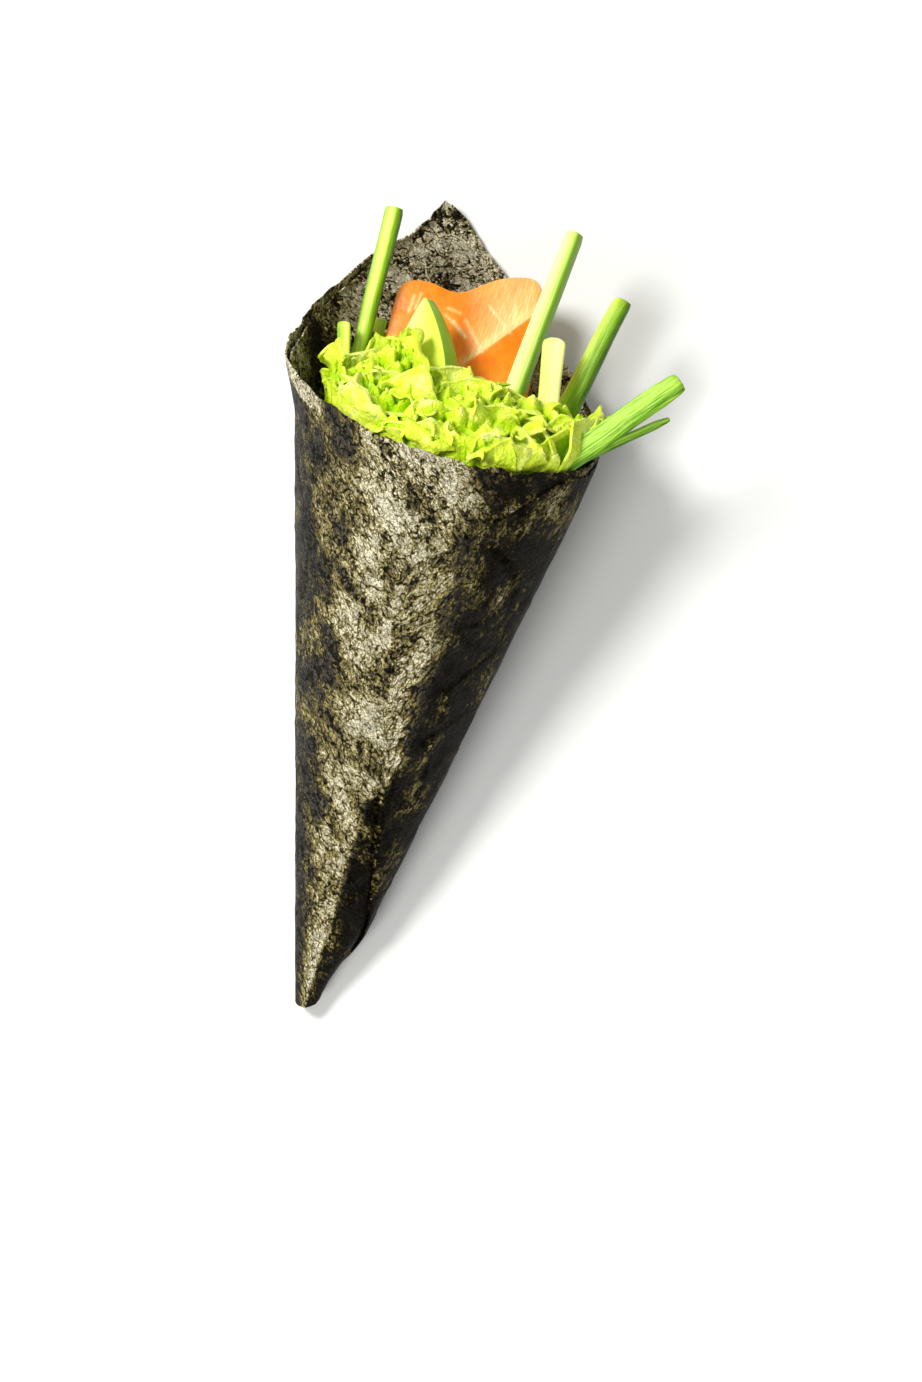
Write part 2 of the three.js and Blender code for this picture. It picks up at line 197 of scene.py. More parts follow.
def nori_material():
    material, tree, shader = new_material(
        "Pressed toasted laver", Roughness=0.4, Specular_IOR_Level=0.12,
        Specular_Tint=linear(0xFFF2D0))
    own = own_place(tree)
    worn_and_lit = add_node(tree, "SeparateXYZ", {"Vector": own}).outputs["Z"]
    painted_sheen = add_node(tree, "Attribute", attribute_name="painted_sheen").outputs["Fac"]
    sheet = add_node(tree, "Mapping", {"Vector": own, "Scale": (1, 1, 0)}).outputs["Vector"]
    lying = add_node(tree, "Mapping", {
        "Vector": sheet, "Rotation": (0, 0, FROND_TURN), "Scale": (FROND_STRETCH, 1, 1)},
        vector_type="TEXTURE").outputs["Vector"]

    patterns = []
    for place, size, detail, distortion in (
            (lying, CLUMP_SIZE, 6.0, 0.2), (lying, FROND_SIZE, 3.0, 0.2), (lying, FOLD_SIZE, 2.0, 0.3),
            (lying, FINE_FOLD_SIZE, 2.0, 0.3), (sheet, CRUMPLE_SIZE, 3.0, 1.6)):
        pattern = add_node(tree, "TexNoise", {
            "Vector": place, "Scale": 1 / size, "Detail": detail, "Roughness": 0.66,
            "Distortion": distortion})
        patterns.append(pattern.outputs["Fac"])
    clumps, fronds, slow_wave, fast_wave, crumple = patterns

    wrinkles = []        # 1 along the lines where a wave passes through 0.5, and 0 away from them
    for wave, width in ((slow_wave, 0.05), (fast_wave, 0.06)):
        from_middle = add_node(tree, "Math", {0: wave, 1: 0.5}, operation="SUBTRACT")
        away = add_node(tree, "Math", {0: from_middle.outputs["Value"]}, operation="ABSOLUTE")
        wrinkle = add_node(tree, "MapRange", {
            "Value": away.outputs["Value"], "From Min": width, "From Max": 0.0},
            interpolation_type="SMOOTHSTEP")
        wrinkles.append(wrinkle.outputs["Result"])
    folds, fine_folds = wrinkles

    # Folds and fine folds darken the marks and the ground along their lines: painted shade in the creases.
    marks = weighted_sum(tree, -2.25, (fronds, 1.0), (clumps, 3.5), (fine_folds, -0.42), (folds, -0.6))
    # On the inner face, past 1, the marks get more contrast: painted shade and highlights of its crumples.
    contrast = add_node(tree, "MapRange", {
        "Value": worn_and_lit, "From Min": 1.0, "From Max": 2.0, "To Min": 1.0, "To Max": 2.8})
    amount = weighted_sum(tree, 0.12, (worn_and_lit, 0.75), (marks, contrast.outputs["Result"]))
    stroke = weighted_sum(tree, -1.2, (folds, -0.5), (clumps, 1.5), (fronds, 2.0))
    clump_colour = add_node(tree, "ValToRGB", {"Fac": amount}, ramp=(
        (0.2, 0x54481C), (1.0, 0xFFF6D4), (0.45, 0x908046), (0.7, 0xC8BA7E)))
    black_ground = add_node(tree, "ValToRGB", {"Fac": stroke}, ramp=((0.1, 0x010100), (0.9, 0x1C170B)))
    # Painted sheen: the grey ground stands in for reflected light.
    sheen_ground = add_node(tree, "ValToRGB", {"Fac": stroke}, ramp=((0.1, 0x1C1A15), (0.9, 0xB0AA9A)))
    ground = add_node(tree, "Mix", {
        FACTOR: painted_sheen, FIRST_COLOUR: black_ground.outputs["Color"],
        SECOND_COLOUR: sheen_ground.outputs["Color"]}, data_type="RGBA")
    marked = add_node(tree, "MapRange", {"Value": amount, "From Min": 0.12, "From Max": 0.38})
    colour = add_node(tree, "Mix", {
        FACTOR: marked.outputs["Result"], FIRST_COLOUR: ground.outputs[MIXED],
        SECOND_COLOUR: clump_colour.outputs["Color"]}, data_type="RGBA")
    tree.links.new(colour.outputs[MIXED], shader.inputs["Base Color"])
    bumped(tree, shader, [(crumple, 4.0), (folds, -1.5), (fine_folds, -0.9), (fronds, 1.3)])
    return material


NORI = nori_material()
print("material:", NORI.name)

# %% [markdown]
# ## Lettuce
# A leaf lettuce is thin, damp and bright. Its colour changes in clouds about 3 mm across. The leaves are
# greener at their base and pale yellow at their margin, which lies at the heap's top, partly their own
# colour and partly painted highlight. Light passes through it, which keeps its shadows green, so the
# shader has some subsurface scattering. Blisters about 1 mm across are relief on the leaf. The own y
# coordinate says how pale the leaf is. On the core it is paler on the folds' tops and greener in their
# valleys: painted highlight and painted shade.

# %% Lettuce material
CLOUD_SIZE, BLISTER_SIZE = 3.0, 1.2           # millimetres


def lettuce_material():
    material, tree, shader = new_material(
        "Damp lettuce leaf", Roughness=0.34, Specular_IOR_Level=0.5, Subsurface_Weight=0.15,
        Subsurface_Radius=(1.1, 0.8, 0.2), Subsurface_Scale=MM)
    paleness = add_node(tree, "SeparateXYZ", {"Vector": own_place(tree)}).outputs["Y"]
    place = add_node(tree, "TexCoord").outputs["Object"]
    cloud = add_node(tree, "TexNoise", {"Vector": place, "Scale": 1 / (CLOUD_SIZE * MM), "Detail": 3.0})
    blisters = add_node(tree, "TexNoise", {
        "Vector": place, "Scale": 1 / (BLISTER_SIZE * MM), "Detail": 3.0, "Roughness": 0.6,
        "Distortion": 0.8})
    tone = weighted_sum(tree, paleness, (cloud.outputs["Fac"], 0.9))
    shade = add_node(tree, "MapRange", {"Value": tone, "From Min": 0.42, "From Max": 1.35})
    colour = add_node(tree, "ValToRGB", {"Fac": shade.outputs["Result"]}, ramp=(
        (0.0, 0xA4D600), (1.0, 0xFAFF98), (0.35, 0xCEF008), (0.7, 0xEAFE46)))
    tree.links.new(colour.outputs["Color"], shader.inputs["Base Color"])
    bumped(tree, shader, [(blisters.outputs["Fac"], 0.7)])
    return material


LETTUCE = lettuce_material()
print("material:", LETTUCE.name)

# %% [markdown]
# ## Salmon
# Raw salmon is orange flesh in flakes, with pale lines of fat between them. The slice was cut across
# them, so its upper right fades to a creamy fan of fine lines. A pale line along the ridge is a painted
# highlight on its crest, and the left edge is a little paler, painted light where it would be in shade.
# It is moist, which gives it a soft gloss, and light enters it a little. Its own coordinates are
# millimetres across and along the grain, and how pale the flesh is.

# %% Salmon material
FLAKE_WIDTH, FLAKE_LENGTH, PATCH_SIZE = 0.6, 3.2, 4      # millimetres


def salmon_material():
    material, tree, shader = new_material(
        "Raw salmon, cut", Roughness=0.4, Specular_IOR_Level=0.3, Subsurface_Weight=0.1,
        Subsurface_Radius=(1.2, 0.8, 0.2), Subsurface_Scale=MM)
    own = own_place(tree)
    paleness = add_node(tree, "SeparateXYZ", {"Vector": own}).outputs["Z"]
    flakes = add_node(tree, "Mapping", {
        "Vector": own, "Scale": (1 / FLAKE_WIDTH, 1 / FLAKE_LENGTH, 0)}).outputs["Vector"]
    grain = add_node(tree, "TexNoise", {
        "Vector": flakes, "Scale": 1.0, "Detail": 3.0, "Roughness": 0.6, "Distortion": 0.9})
    patches = add_node(tree, "TexNoise", {
        "Vector": add_node(tree, "TexCoord").outputs["Object"], "Scale": 1 / (PATCH_SIZE * MM),
        "Detail": 4.0})
    lines = add_node(tree, "MapRange", {
        "Value": grain.outputs["Fac"], "From Min": 0.5, "From Max": 0.68, "To Min": -0.3, "To Max": 0.9})
    streaky = weighted_sum(tree, paleness, (paleness, lines.outputs["Result"]))
    base = add_node(tree, "ValToRGB", {"Fac": patches.outputs["Fac"]}, ramp=(
        (0.3, 0xFF7C00), (0.75, 0xFF9A14)))
    colour = add_node(tree, "Mix", {
        FACTOR: streaky, FIRST_COLOUR: base.outputs["Color"],
        SECOND_COLOUR: linear(0xFFEAA4)}, data_type="RGBA")
    tree.links.new(colour.outputs[MIXED], shader.inputs["Base Color"])
    bumped(tree, shader, [(patches.outputs["Fac"], 0.6)])
    return material


SALMON = salmon_material()
print("material:", SALMON.name)

# %% [markdown]
# ## Avocado and vegetable sticks
# Avocado flesh is pale and buttery inside and turns green just under the skin. Cucumber batons are
# nearly white on the cut faces and green on the side that was next to the skin. Stalks and leaf blades
# have fine fibres along their whole length, so their pattern is stretched along the stick. All of them
# are fresh and moist, which gives them soft highlights.

# %% Materials for the avocado and the sticks
AVOCADO_CLOUD = 4                             # millimetres
FIBRE_STRETCH = 22                            # a fibre's length is this many times its width


def avocado_material():
    material, tree, shader = new_material(
        "Ripe avocado flesh", Roughness=0.4, Specular_IOR_Level=0.3, Subsurface_Weight=0.15,
        Subsurface_Radius=(1.2, 1.2, 0.4), Subsurface_Scale=MM)
    flesh = own_place(tree)
    parts = add_node(tree, "SeparateXYZ", {"Vector": flesh})
    cloud = add_node(tree, "TexNoise", {"Vector": flesh, "Scale": 1 / AVOCADO_CLOUD, "Detail": 4.0})
    wobble = add_node(tree, "MapRange", {
        "Value": cloud.outputs["Fac"], "To Min": -0.08, "To Max": 0.08})
    across = add_node(tree, "Math", {0: parts.outputs["X"], 1: wobble.outputs["Result"]}, operation="ADD")
    colour = add_node(tree, "ValToRGB", {"Fac": across.outputs["Value"]}, ramp=(
        (0.0, 0xFCFF8C), (1.0, 0x8CC000), (0.5, 0xF2FC60), (0.88, 0xDCF040), (0.93, 0xA2CC00)))
    tree.links.new(colour.outputs["Color"], shader.inputs["Base Color"])
    bumped(tree, shader, [(cloud.outputs["Fac"], 0.4)])
    return material


def stick_material(name, pale, middle, dark, fibre_width, relief, soft=0.22):
    """Fibres along the stick. Its own z runs from 0 where it is pale to 1 where it is dark."""
    material, tree, shader = new_material(
        name, Roughness=0.38, Specular_IOR_Level=0.35, Subsurface_Weight=0.12,
        Subsurface_Radius=(1.0, 1.1, 0.4), Subsurface_Scale=MM)
    stick = own_place(tree)
    parts = add_node(tree, "SeparateXYZ", {"Vector": stick})
    lengthwise = add_node(tree, "Mapping", {
        "Vector": stick, "Scale": (1 / fibre_width, 1 / (FIBRE_STRETCH * fibre_width), 0.6)})
    fibres = add_node(tree, "TexNoise", {
        "Vector": lengthwise.outputs["Vector"], "Scale": 1.0, "Detail": 4.0, "Roughness": 0.65})
    wobble = add_node(tree, "MapRange", {
        "Value": fibres.outputs["Fac"], "From Min": 0.25, "From Max": 0.75,
        "To Min": -soft, "To Max": soft})
    side = add_node(tree, "Math", {0: parts.outputs["Z"], 1: wobble.outputs["Result"]}, operation="ADD")
    colour = add_node(tree, "ValToRGB", {"Fac": side.outputs["Value"]}, ramp=(
        (0.1, pale), (0.9, dark), (0.45, middle)))
    tree.links.new(colour.outputs["Color"], shader.inputs["Base Color"])
    bumped(tree, shader, [(fibres.outputs["Fac"], relief)])
    return material


AVOCADO = avocado_material()
# pale, middle and dark colour, fibre width and relief in millimetres, and how soft the change is
# On the stalks and leaf blades the dark colour paints shade on one side.
STALK = stick_material("Scallion stalk", 0xDDF268, 0x9CC81C, 0x3E6E00, 0.5, 0.2)
BLADE = stick_material("Scallion leaf blade", 0xB8E454, 0x7CB01C, 0x40700A, 0.3, 0.16, 0.6)
CUCUMBER = stick_material("Cucumber, cut", 0xFFFFA6, 0xF4FA7C, 0x80AC0C, 0.9, 0.1, 0.1)
CUCUMBER_SKIN = stick_material("Cucumber, skin side", 0xE6F86A, 0xD4EE48, 0x8CBC1C, 0.7, 0.1)
print("materials:", [m.name for m in (AVOCADO, STALK, BLADE, CUCUMBER, CUCUMBER_SKIN)])

# %% [markdown]
# ## Helpers for modelling
# Each piece starts as one of Blender's primitives, is divided in edit mode, and then its points are
# moved to their places by a formula. These helpers read and write the points, store the piece's own
# coordinates for its material, and hand the finished piece to the frame.

# %% Helpers for modelling
def deselect_all():
    for thing in bpy.context.selected_objects:
        thing.select_set(False)


def select_only(piece):
    deselect_all()
    piece.select_set(True)
    bpy.context.view_layer.objects.active = piece


def points_of(piece):
    places = np.empty(len(piece.data.vertices) * 3)
    piece.data.vertices.foreach_get("co", places)
    return places.reshape(-1, 3)


def move_points(piece, places):
    piece.data.vertices.foreach_set("co", np.asarray(places, float).ravel())
    piece.data.update()


def store_own(piece, places):
    attribute = piece.data.attributes.new("own", "FLOAT_VECTOR", "POINT")
    attribute.data.foreach_set("vector", np.asarray(places, float).ravel())


def store_share(piece, name, shares):
    attribute = piece.data.attributes.new(name, "FLOAT", "POINT")
    attribute.data.foreach_set("value", np.asarray(shares, float))


def apply_modifier(piece, kind, **settings):
    select_only(piece)
    modifier = piece.modifiers.new(kind.lower(), kind)
    for name, value in settings.items():
        setattr(modifier, name, value)
    bpy.ops.object.modifier_apply(modifier=modifier.name)


def outward(piece):
    """Turns all faces outwards."""
    select_only(piece)
    bpy.ops.object.mode_set(mode="EDIT")
    bpy.ops.mesh.select_all(action="SELECT")
    bpy.ops.mesh.normals_make_consistent(inside=False)
    bpy.ops.object.mode_set(mode="OBJECT")


def finish_piece(piece, name, material, nodes=(), smooth_angle=60):
    """Names the piece, gives it its finish, and lets it ride on the part."""
    select_only(piece)
    bpy.ops.object.shade_smooth_by_angle(angle=math.radians(smooth_angle))
    piece.name = name
    piece.data.name = name
    piece.data.materials.clear()
    piece.data.materials.append(material)
    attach(piece, "root")
    if nodes:
        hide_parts(*nodes)
    print(name, "has", sum(len(face.vertices) - 2 for face in piece.data.polygons), "triangles")


def noise_at(points, wavelength, seed=0.0):
    """Smooth noise of about -1 to 1 at points in millimetres."""
    return np.array([noise.noise(Vector(p) / wavelength + Vector((seed, 0, 0))) for p in points])


def smooth_step(low, high, value):
    """0 at low, 1 at high, and smooth between them. High may be the smaller one."""
    share = np.clip((value - low) / (high - low), 0, 1)
    return share * share * (3 - 2 * share)


def hump(distance, spread):
    """1 at distance 0, and falling off like a bell."""
    return np.exp(-((distance / spread) ** 2))


def from_line(places, along):
    """For a line from the origin: how far along it each place is, as a share, and the way from it."""
    share = np.clip(places @ along / (along @ along), 0, 1)
    return share, places - share[:, None] * along


print("at a distance of its spread, a hump is", round(float(hump(2, 2)), 3))

# %% [markdown]
# ## The sheet of nori
# The sheet is half of a square one, rolled round the apex for close to two turns. A turn angle counts
# from the shown side to the right, from the sheet's outer end to its inner end, and on the flat sheet
# each degree round the roll is 0.24 degrees round the apex. A straight edge of the sheet then has a
# simple formula. A grid primitive is the flat sheet, and its points are moved to the rolled one.

# %% The shape of the rolled sheet
UNROLL = 0.24                                 # degrees on the flat sheet for each degree of turn
TOP_EDGE, TOP_FOOT = 120, 375                 # each long edge's distance from the apex, and the turn
BOTTOM_EDGE, BOTTOM_FOOT = 15, 332            # angle at which it is that near
OUTER_END, INNER_END = -6, 666                # turn angles of the sheet's two ends
OUTER_CORNER, INNER_CORNER = 198, 552         # between these the upper long edge is the sheet's top
OUTER_END_TOP, OUTER_END_RISE = 97.7, 0.345   # slant height of the top at the outer end, and its rise
HIDDEN_TURN_DROP = 1.5                        # how far a hidden turn ends below the shown one
PITCH = 0.75                                  # how much deeper each turn lies than the last
THICKNESS = 0.3
PINCH_FROM, PINCH_RATE, PINCH_MOST = 30, 0.15, 1.5       # the tip is narrower below this height
SINK = 0.5                                    # how much the floor presses the back flat
MOUTH_Y = 123
FLOOR = PITCH * (180 - OUTER_END) / 360 * math.cos(LEAN) + SINK


def edge_slant(distance, foot, turn):
    """Slant height of a straight edge at a turn angle."""
    return distance / np.cos(np.radians(UNROLL * (turn - foot)))


def top_slant(turn):
    """Slant height of the sheet's top: the long edge, with the outer end cut off slantwise below it."""
    long_edge = edge_slant(TOP_EDGE, TOP_FOOT, turn)
    under_next = edge_slant(TOP_EDGE, TOP_FOOT, turn + 360) - HIDDEN_TURN_DROP
    under_last = edge_slant(TOP_EDGE, TOP_FOOT, turn - 360) - HIDDEN_TURN_DROP
    outer_end = np.minimum(OUTER_END_TOP + OUTER_END_RISE * (turn - OUTER_END), under_next)
    return np.where(turn < OUTER_CORNER, outer_end, np.where(turn > INNER_CORNER, under_last, long_edge))


def cone_point(turn, y, inset):
    """A point of the cone, inset from its outer surface, with the pinched tip."""
    side = np.sin(np.radians(turn))
    pinch = np.clip(PINCH_RATE * (PINCH_FROM - y), 0, PINCH_MOST)
    x = (WIDTH_SLOPE * y - inset) * side - pinch * (0.5 + 0.5 * side)
    z = (DEPTH_SLOPE * y - inset) * np.cos(np.radians(turn))
    return np.stack([x, y, z], axis=-1)


def slant_rate(turn):
    """How far it is along the cone's side for each millimetre along its axis."""
    side = WIDTH_SLOPE * np.sin(np.radians(turn))
    front = DEPTH_SLOPE * np.cos(np.radians(turn))
    return np.sqrt(1 + side ** 2 + front ** 2)


def floor_z(y, height):
    """The lowest z that keeps a point the given height above the floor."""
    return (FLOOR + height - y * math.sin(LEAN)) / math.cos(LEAN)


print("mouth is", round(2 * WIDTH_SLOPE * MOUTH_Y, 1), "mm wide")

# %% [markdown]
# ## Creases and facets
# A hand squeezes a roll into soft facets. One ridge runs down the shown side, with a flatter facet to
# its right, which turns away from the light. The rest is a crumple of waves of 18, 7 and 3 mm, creases
# where a slow wave crosses zero, and straight creases at set places, some of which show where the
# sheet's end lies. All turns move by the same amount at the same place, as pressed sheets do, so they
# don't cut each other. The left of the mouth bulges out.

# %% Relief of the sheet
RIDGE_Y = (15, 30, 54, 58, 64, 88, 118)       # heights along the axis, from the tip
RIDGE_TURN = (0, 3, 6, 17, 23, 20, 12)        # turn angle of the ridge at each height
RIDGE_WIDTH, FACET_WIDTH = 9, 58              # degrees
FACET_DEPTH = 0.055                           # of the cone's half width
# creases pressed into the sheet: turn and height where one starts and ends, half width, height
CREASES = (
    (1, 94.5, -13, 90.3, 0.7, 0.65), (-13, 90.3, -30, 95.5, 0.9, 0.65), (-11, 75.2, 5, 78.8, 0.8, -0.75),
    (-11, 76.2, 5, 80.2, 0.8, 0.6), (-1, 56.8, 18, 61.7, 0.8, -0.75), (-4, 110.5, -3, 105, 0.5, -1.2),
    (-39, 36.4, -3, 35.2, 0.7, -0.5), (6, 37.7, 23, 40, 0.7, 0.6), (-32, 104, -12, 99, 0.8, 0.5),
    (-25, 84, -38, 88, 0.8, -0.5), (30, 84, 48, 78, 0.9, 0.5), (34, 66, 52, 71, 0.9, -0.5),
    (13, 62, 18, 55, 0.45, -0.9), (17, 56, 30, 46, 0.45, -0.9), (29, 47, 62, 34.5, 0.45, -0.7),
    (17, 62, 22, 55, 0.5, 0.6), (21, 56, 34, 46.5, 0.5, 0.5))
BULGE_TURN, BULGE_HEIGHT, BULGE_SPREAD = -78, 2.2, 24
FLAP_CRUMPLE = 0.7                            # how much more crumpled the flap is than the roll


def signed(turn):
    """The same direction as an angle from -180 to 180 degrees."""
    return (turn + 180) % 360 - 180


def pressed_creases(turn, y):
    """The height of the straight creases at a place of the shown side."""
    height = 0 * y
    wander = 0.5 * noise_at(np.stack([turn / 6, y / 2, 0 * y], axis=-1), 1)
    for turn_1, y_1, turn_2, y_2, width, raised in CREASES:
        arc = math.radians(1) * WIDTH_SLOPE * 0.5 * (y_1 + y_2)
        along = np.array(((turn_2 - turn_1) * arc, y_2 - y_1))
        place = np.stack([(signed(turn) - turn_1) * arc, y - y_1], axis=-1)
        share, away = from_line(place, along)
        distance = np.linalg.norm(away, axis=1)
        height = height + raised * hump(distance + wander, width) * np.sqrt(np.sin(math.pi * share) + 0.2)
    return height


def relief(turn, y):
    """How far the sheet stands out from the cone, in millimetres."""
    place = cone_point(turn, y, 0)
    radius = WIDTH_SLOPE * y
    angle = signed(turn)
    across = (angle - np.interp(y, RIDGE_Y, RIDGE_TURN)) / FACET_WIDTH
    facet = np.where((across > 0) & (across < 1), np.sin(np.pi * np.clip(across, 0, 1)), 0)
    ridge = hump(across * FACET_WIDTH, RIDGE_WIDTH)
    waves = 0.45 * noise_at(place, 18) + 0.34 * noise_at(place, 7, 5) + 0.2 * noise_at(place, 3, 9)
    creases = -0.4 * hump(noise_at(place, 13, 21), 0.05) + 0.3 * hump(noise_at(place, 8, 33), 0.07)
    calm = smooth_step(12, 40, y)
    facing = np.cos(np.radians(angle))
    off_floor = smooth_step(-0.96, -0.8, facing)
    bulge = BULGE_HEIGHT * hump(signed(turn - BULGE_TURN), BULGE_SPREAD)
    crumple = (waves + creases) * (0.35 + 0.65 * calm) * (0.3 + 0.7 * np.abs(facing))
    crumple *= 1 + FLAP_CRUMPLE * smooth_step(122, 134, y)
    crumple += pressed_creases(turn, y)
    pressed_in = -1.4 * np.abs(crumple) * (1 - off_floor) * smooth_step(116, 124, y)
    crumple = (crumple + 0.012 * radius * ridge) * off_floor + pressed_in
    return crumple - FACET_DEPTH * radius * facet + bulge * smooth_step(117, 129, y)


bulge_place = np.array([BULGE_TURN % 360.0]), np.array([130.0])
print("the bulge stands out by", round(float(relief(*bulge_place)[0]), 1), "mm")

# %% [markdown]
# ## Wear and painted light
# A sheet is worn where it was handled, and the same value also paints light and shade on it. It is
# highest in a broad band left of the ridge, a painted highlight where the light falls, and on the flap's
# inner face, where it brightens the shaded flap and inner wall as painted light. On the left the top
# edge of the outer turn takes the inner face's values. Right of the ridge, where the facet turns away
# from the light, its ground is black, as painted shade. Two short tables say how worn and lit it is and
# how much painted sheen greys its ground at some turn angles, for the outer face and for the inner one,
# and what lies between them is interpolated.

# %% Wear and painted light of the sheet
BAND_TURN = (-180, -120, -64, -50, -36, -18, 180)        # from the back over the left side, and round
BAND_WEAR_AND_LIGHT = (0.25, 0.1, 0.02, 0.28, 0.58, 1.0, 1.0)      # how worn and lit the outer face is left of the ridge; the band is a painted highlight
BAND_SHEEN = (0, 0.12, 0.22, 0.3, 0.55, 1, 1)             # how much painted sheen greys its ground there
BEYOND_WEAR_AND_SHADE, RIM_WEAR = 0.02, 0.2             # right of the ridge: low, painted shade where the facet turns away; and what it gains up to the rim
LAST_TURN, LAST_FADE = 450, 20                # from here on only the inner face shows
INNER_TURN = (450, 560, 580, 600, 612, 630, 666)
# High values on the inner face brighten the shaded flap and inner wall: painted light.
INNER_WEAR_AND_LIGHT = (1.3, 1.6, 1.4, 0.55, 0.4, 1.5, 1.7)
INNER_SHEEN = (0.8, 0.5, 0.2, 0.05, 0.1, 0.5, 0.6)
LIP_HEIGHT = 4                                # the top edge of the outer turn that takes the inner face's values, in millimetres


def wear_and_light(turn, y, below_top):
    """How worn and lit the sheet is, and how much painted sheen greys its ground. The third value is the
    distance to its top.
    """
    angle = signed(turn)
    from_ridge = angle - np.interp(y, RIDGE_Y, RIDGE_TURN)
    fades = np.interp(y, (60, 100), (10, 30))
    beyond = smooth_step(-0.5, 0.6, from_ridge / fades)
    # The band left of the ridge is a painted highlight, and the low value right of it is painted shade
    # where the facet turns away.
    band = np.interp(angle, BAND_TURN, BAND_WEAR_AND_LIGHT) * (1 + 0.18 * smooth_step(88, 112, y))
    shown = band * (1 - beyond) + (BEYOND_WEAR_AND_SHADE + RIM_WEAR * smooth_step(98, 114, y)) * beyond
    painted_sheen = np.interp(angle, BAND_TURN, BAND_SHEEN) * (1 - beyond)
    inner_turn = np.where(turn < LAST_TURN - LAST_FADE, turn + 360, turn)
    inner, inner_sheen = (np.interp(inner_turn, INNER_TURN, values) for values in (INNER_WEAR_AND_LIGHT, INNER_SHEEN))
    inside = smooth_step(LAST_TURN - LAST_FADE, LAST_TURN + LAST_FADE, turn)
    lip = smooth_step(LIP_HEIGHT, LIP_HEIGHT - 1.5, below_top)
    inside = np.maximum(inside, lip * smooth_step(190, 200, turn) * smooth_step(320, 290, turn))
    return shown + (inner - shown) * inside, painted_sheen + (inner_sheen - painted_sheen) * inside


for place_name, turn_angle in (("left of the ridge", -10.0), ("right of the ridge", 60.0)):
    sample_wear = wear_and_light(np.array([turn_angle]), np.array([80.0]), np.array([30.0]))[0][0]
    print("wear_and_light", place_name, "is", round(float(sample_wear), 2))

# %% [markdown]
# ## The sheet itself
# A grid has its rows and columns where the sheet needs them, so its points only have to be moved. The
# flap's left corner curls a little towards the mouth, and every free edge is slightly ragged. The grid
# is the sheet's outer face, and Solidify adds the inner one.

# %% Make the nori
COLUMNS, ROWS = 404, 118
CURL_LENGTH, CURL_HEIGHT, CURL_GROOVE = 3.8, 2.3, 1.3
RAGGED = 0.8
# the flap's corner: turn angle and slant height of its point, its fall for each degree, half width
CORNER_TURN, CORNER_SLANT, CORNER_FALL, CORNER_SPAN = 196, 163.9, 0.3, 8
# gentle bumps of the flap's edge: turn angle, height and spread
EDGE_BUMPS = ((222, 1.3, 7), (209, -0.4, 4))


def sheet_points(turn, share):
    """Points of the rolled sheet's outer face, their own coordinates and how much painted sheen greys the
    ground.

    The share runs from 0 at the sheet's lower edge to 1 at its top.
    """
    bottom = edge_slant(BOTTOM_EDGE, BOTTOM_FOOT, turn)
    from_corner = np.minimum(np.abs(signed(turn - CORNER_TURN)), CORNER_SPAN)
    top = np.minimum(top_slant(turn), CORNER_SLANT - CORNER_FALL * from_corner)
    for bump_turn, height, spread in EDGE_BUMPS:
        top = top + height * hump(turn - bump_turn, spread)
    rim = np.stack([turn * 0.45, np.zeros_like(turn), np.zeros_like(turn)], axis=-1)
    ragged = RAGGED * (noise_at(rim, 4.5, 3) + noise_at(rim, 1.6, 7) * 0.6)
    slant = bottom + (top - bottom + ragged) * share
    y = slant / slant_rate(turn)
    inset = PITCH * (turn - OUTER_END) / 360
    pressed = 0.3 * hump(turn - OUTER_END, 30)
    pressed = np.maximum(pressed, 0.4 * np.exp(-(top - slant) / 3) * (turn < OUTER_CORNER - 60))
    below_edge = np.clip(1 - (top - slant) / CURL_LENGTH, 0, 1)
    curls = smooth_step(OUTER_CORNER - 4, OUTER_CORNER + 8, turn) * (1 - smooth_step(215, 240, turn))
    groove = CURL_GROOVE * hump(top - slant - CURL_LENGTH, 0.8)
    inset = inset + pressed - relief(turn, y) + (CURL_HEIGHT * below_edge ** 2 - groove) * curls
    points = cone_point(turn, y, inset)
    turns_inside = np.round((turn - 180) / 360)
    points[:, 2] = np.maximum(points[:, 2], floor_z(y, turns_inside * PITCH))
    flat_angle = np.radians(UNROLL * (turn - BOTTOM_FOOT))
    worn_and_lit, painted_sheen = wear_and_light(turn, y, top - slant)
    own = np.stack([slant * np.sin(flat_angle), slant * np.cos(flat_angle), worn_and_lit], axis=-1)
    return points, own, painted_sheen


def make_nori():
    deselect_all()
    bpy.ops.mesh.primitive_grid_add(x_subdivisions=COLUMNS, y_subdivisions=ROWS, size=1)
    sheet = bpy.context.object
    grid = points_of(sheet) + 0.5
    points, own, painted_sheen = sheet_points(OUTER_END + (INNER_END - OUTER_END) * grid[:, 0], grid[:, 1])
    move_points(sheet, laid_down(points))
    store_own(sheet, own)
    store_share(sheet, "painted_sheen", painted_sheen)
    apply_modifier(sheet, "SOLIDIFY", thickness=THICKNESS * MM, offset=-1)
    return sheet


nori = make_nori()
finish_piece(nori, "nori_sheet", NORI, ["nori"], smooth_angle=75)
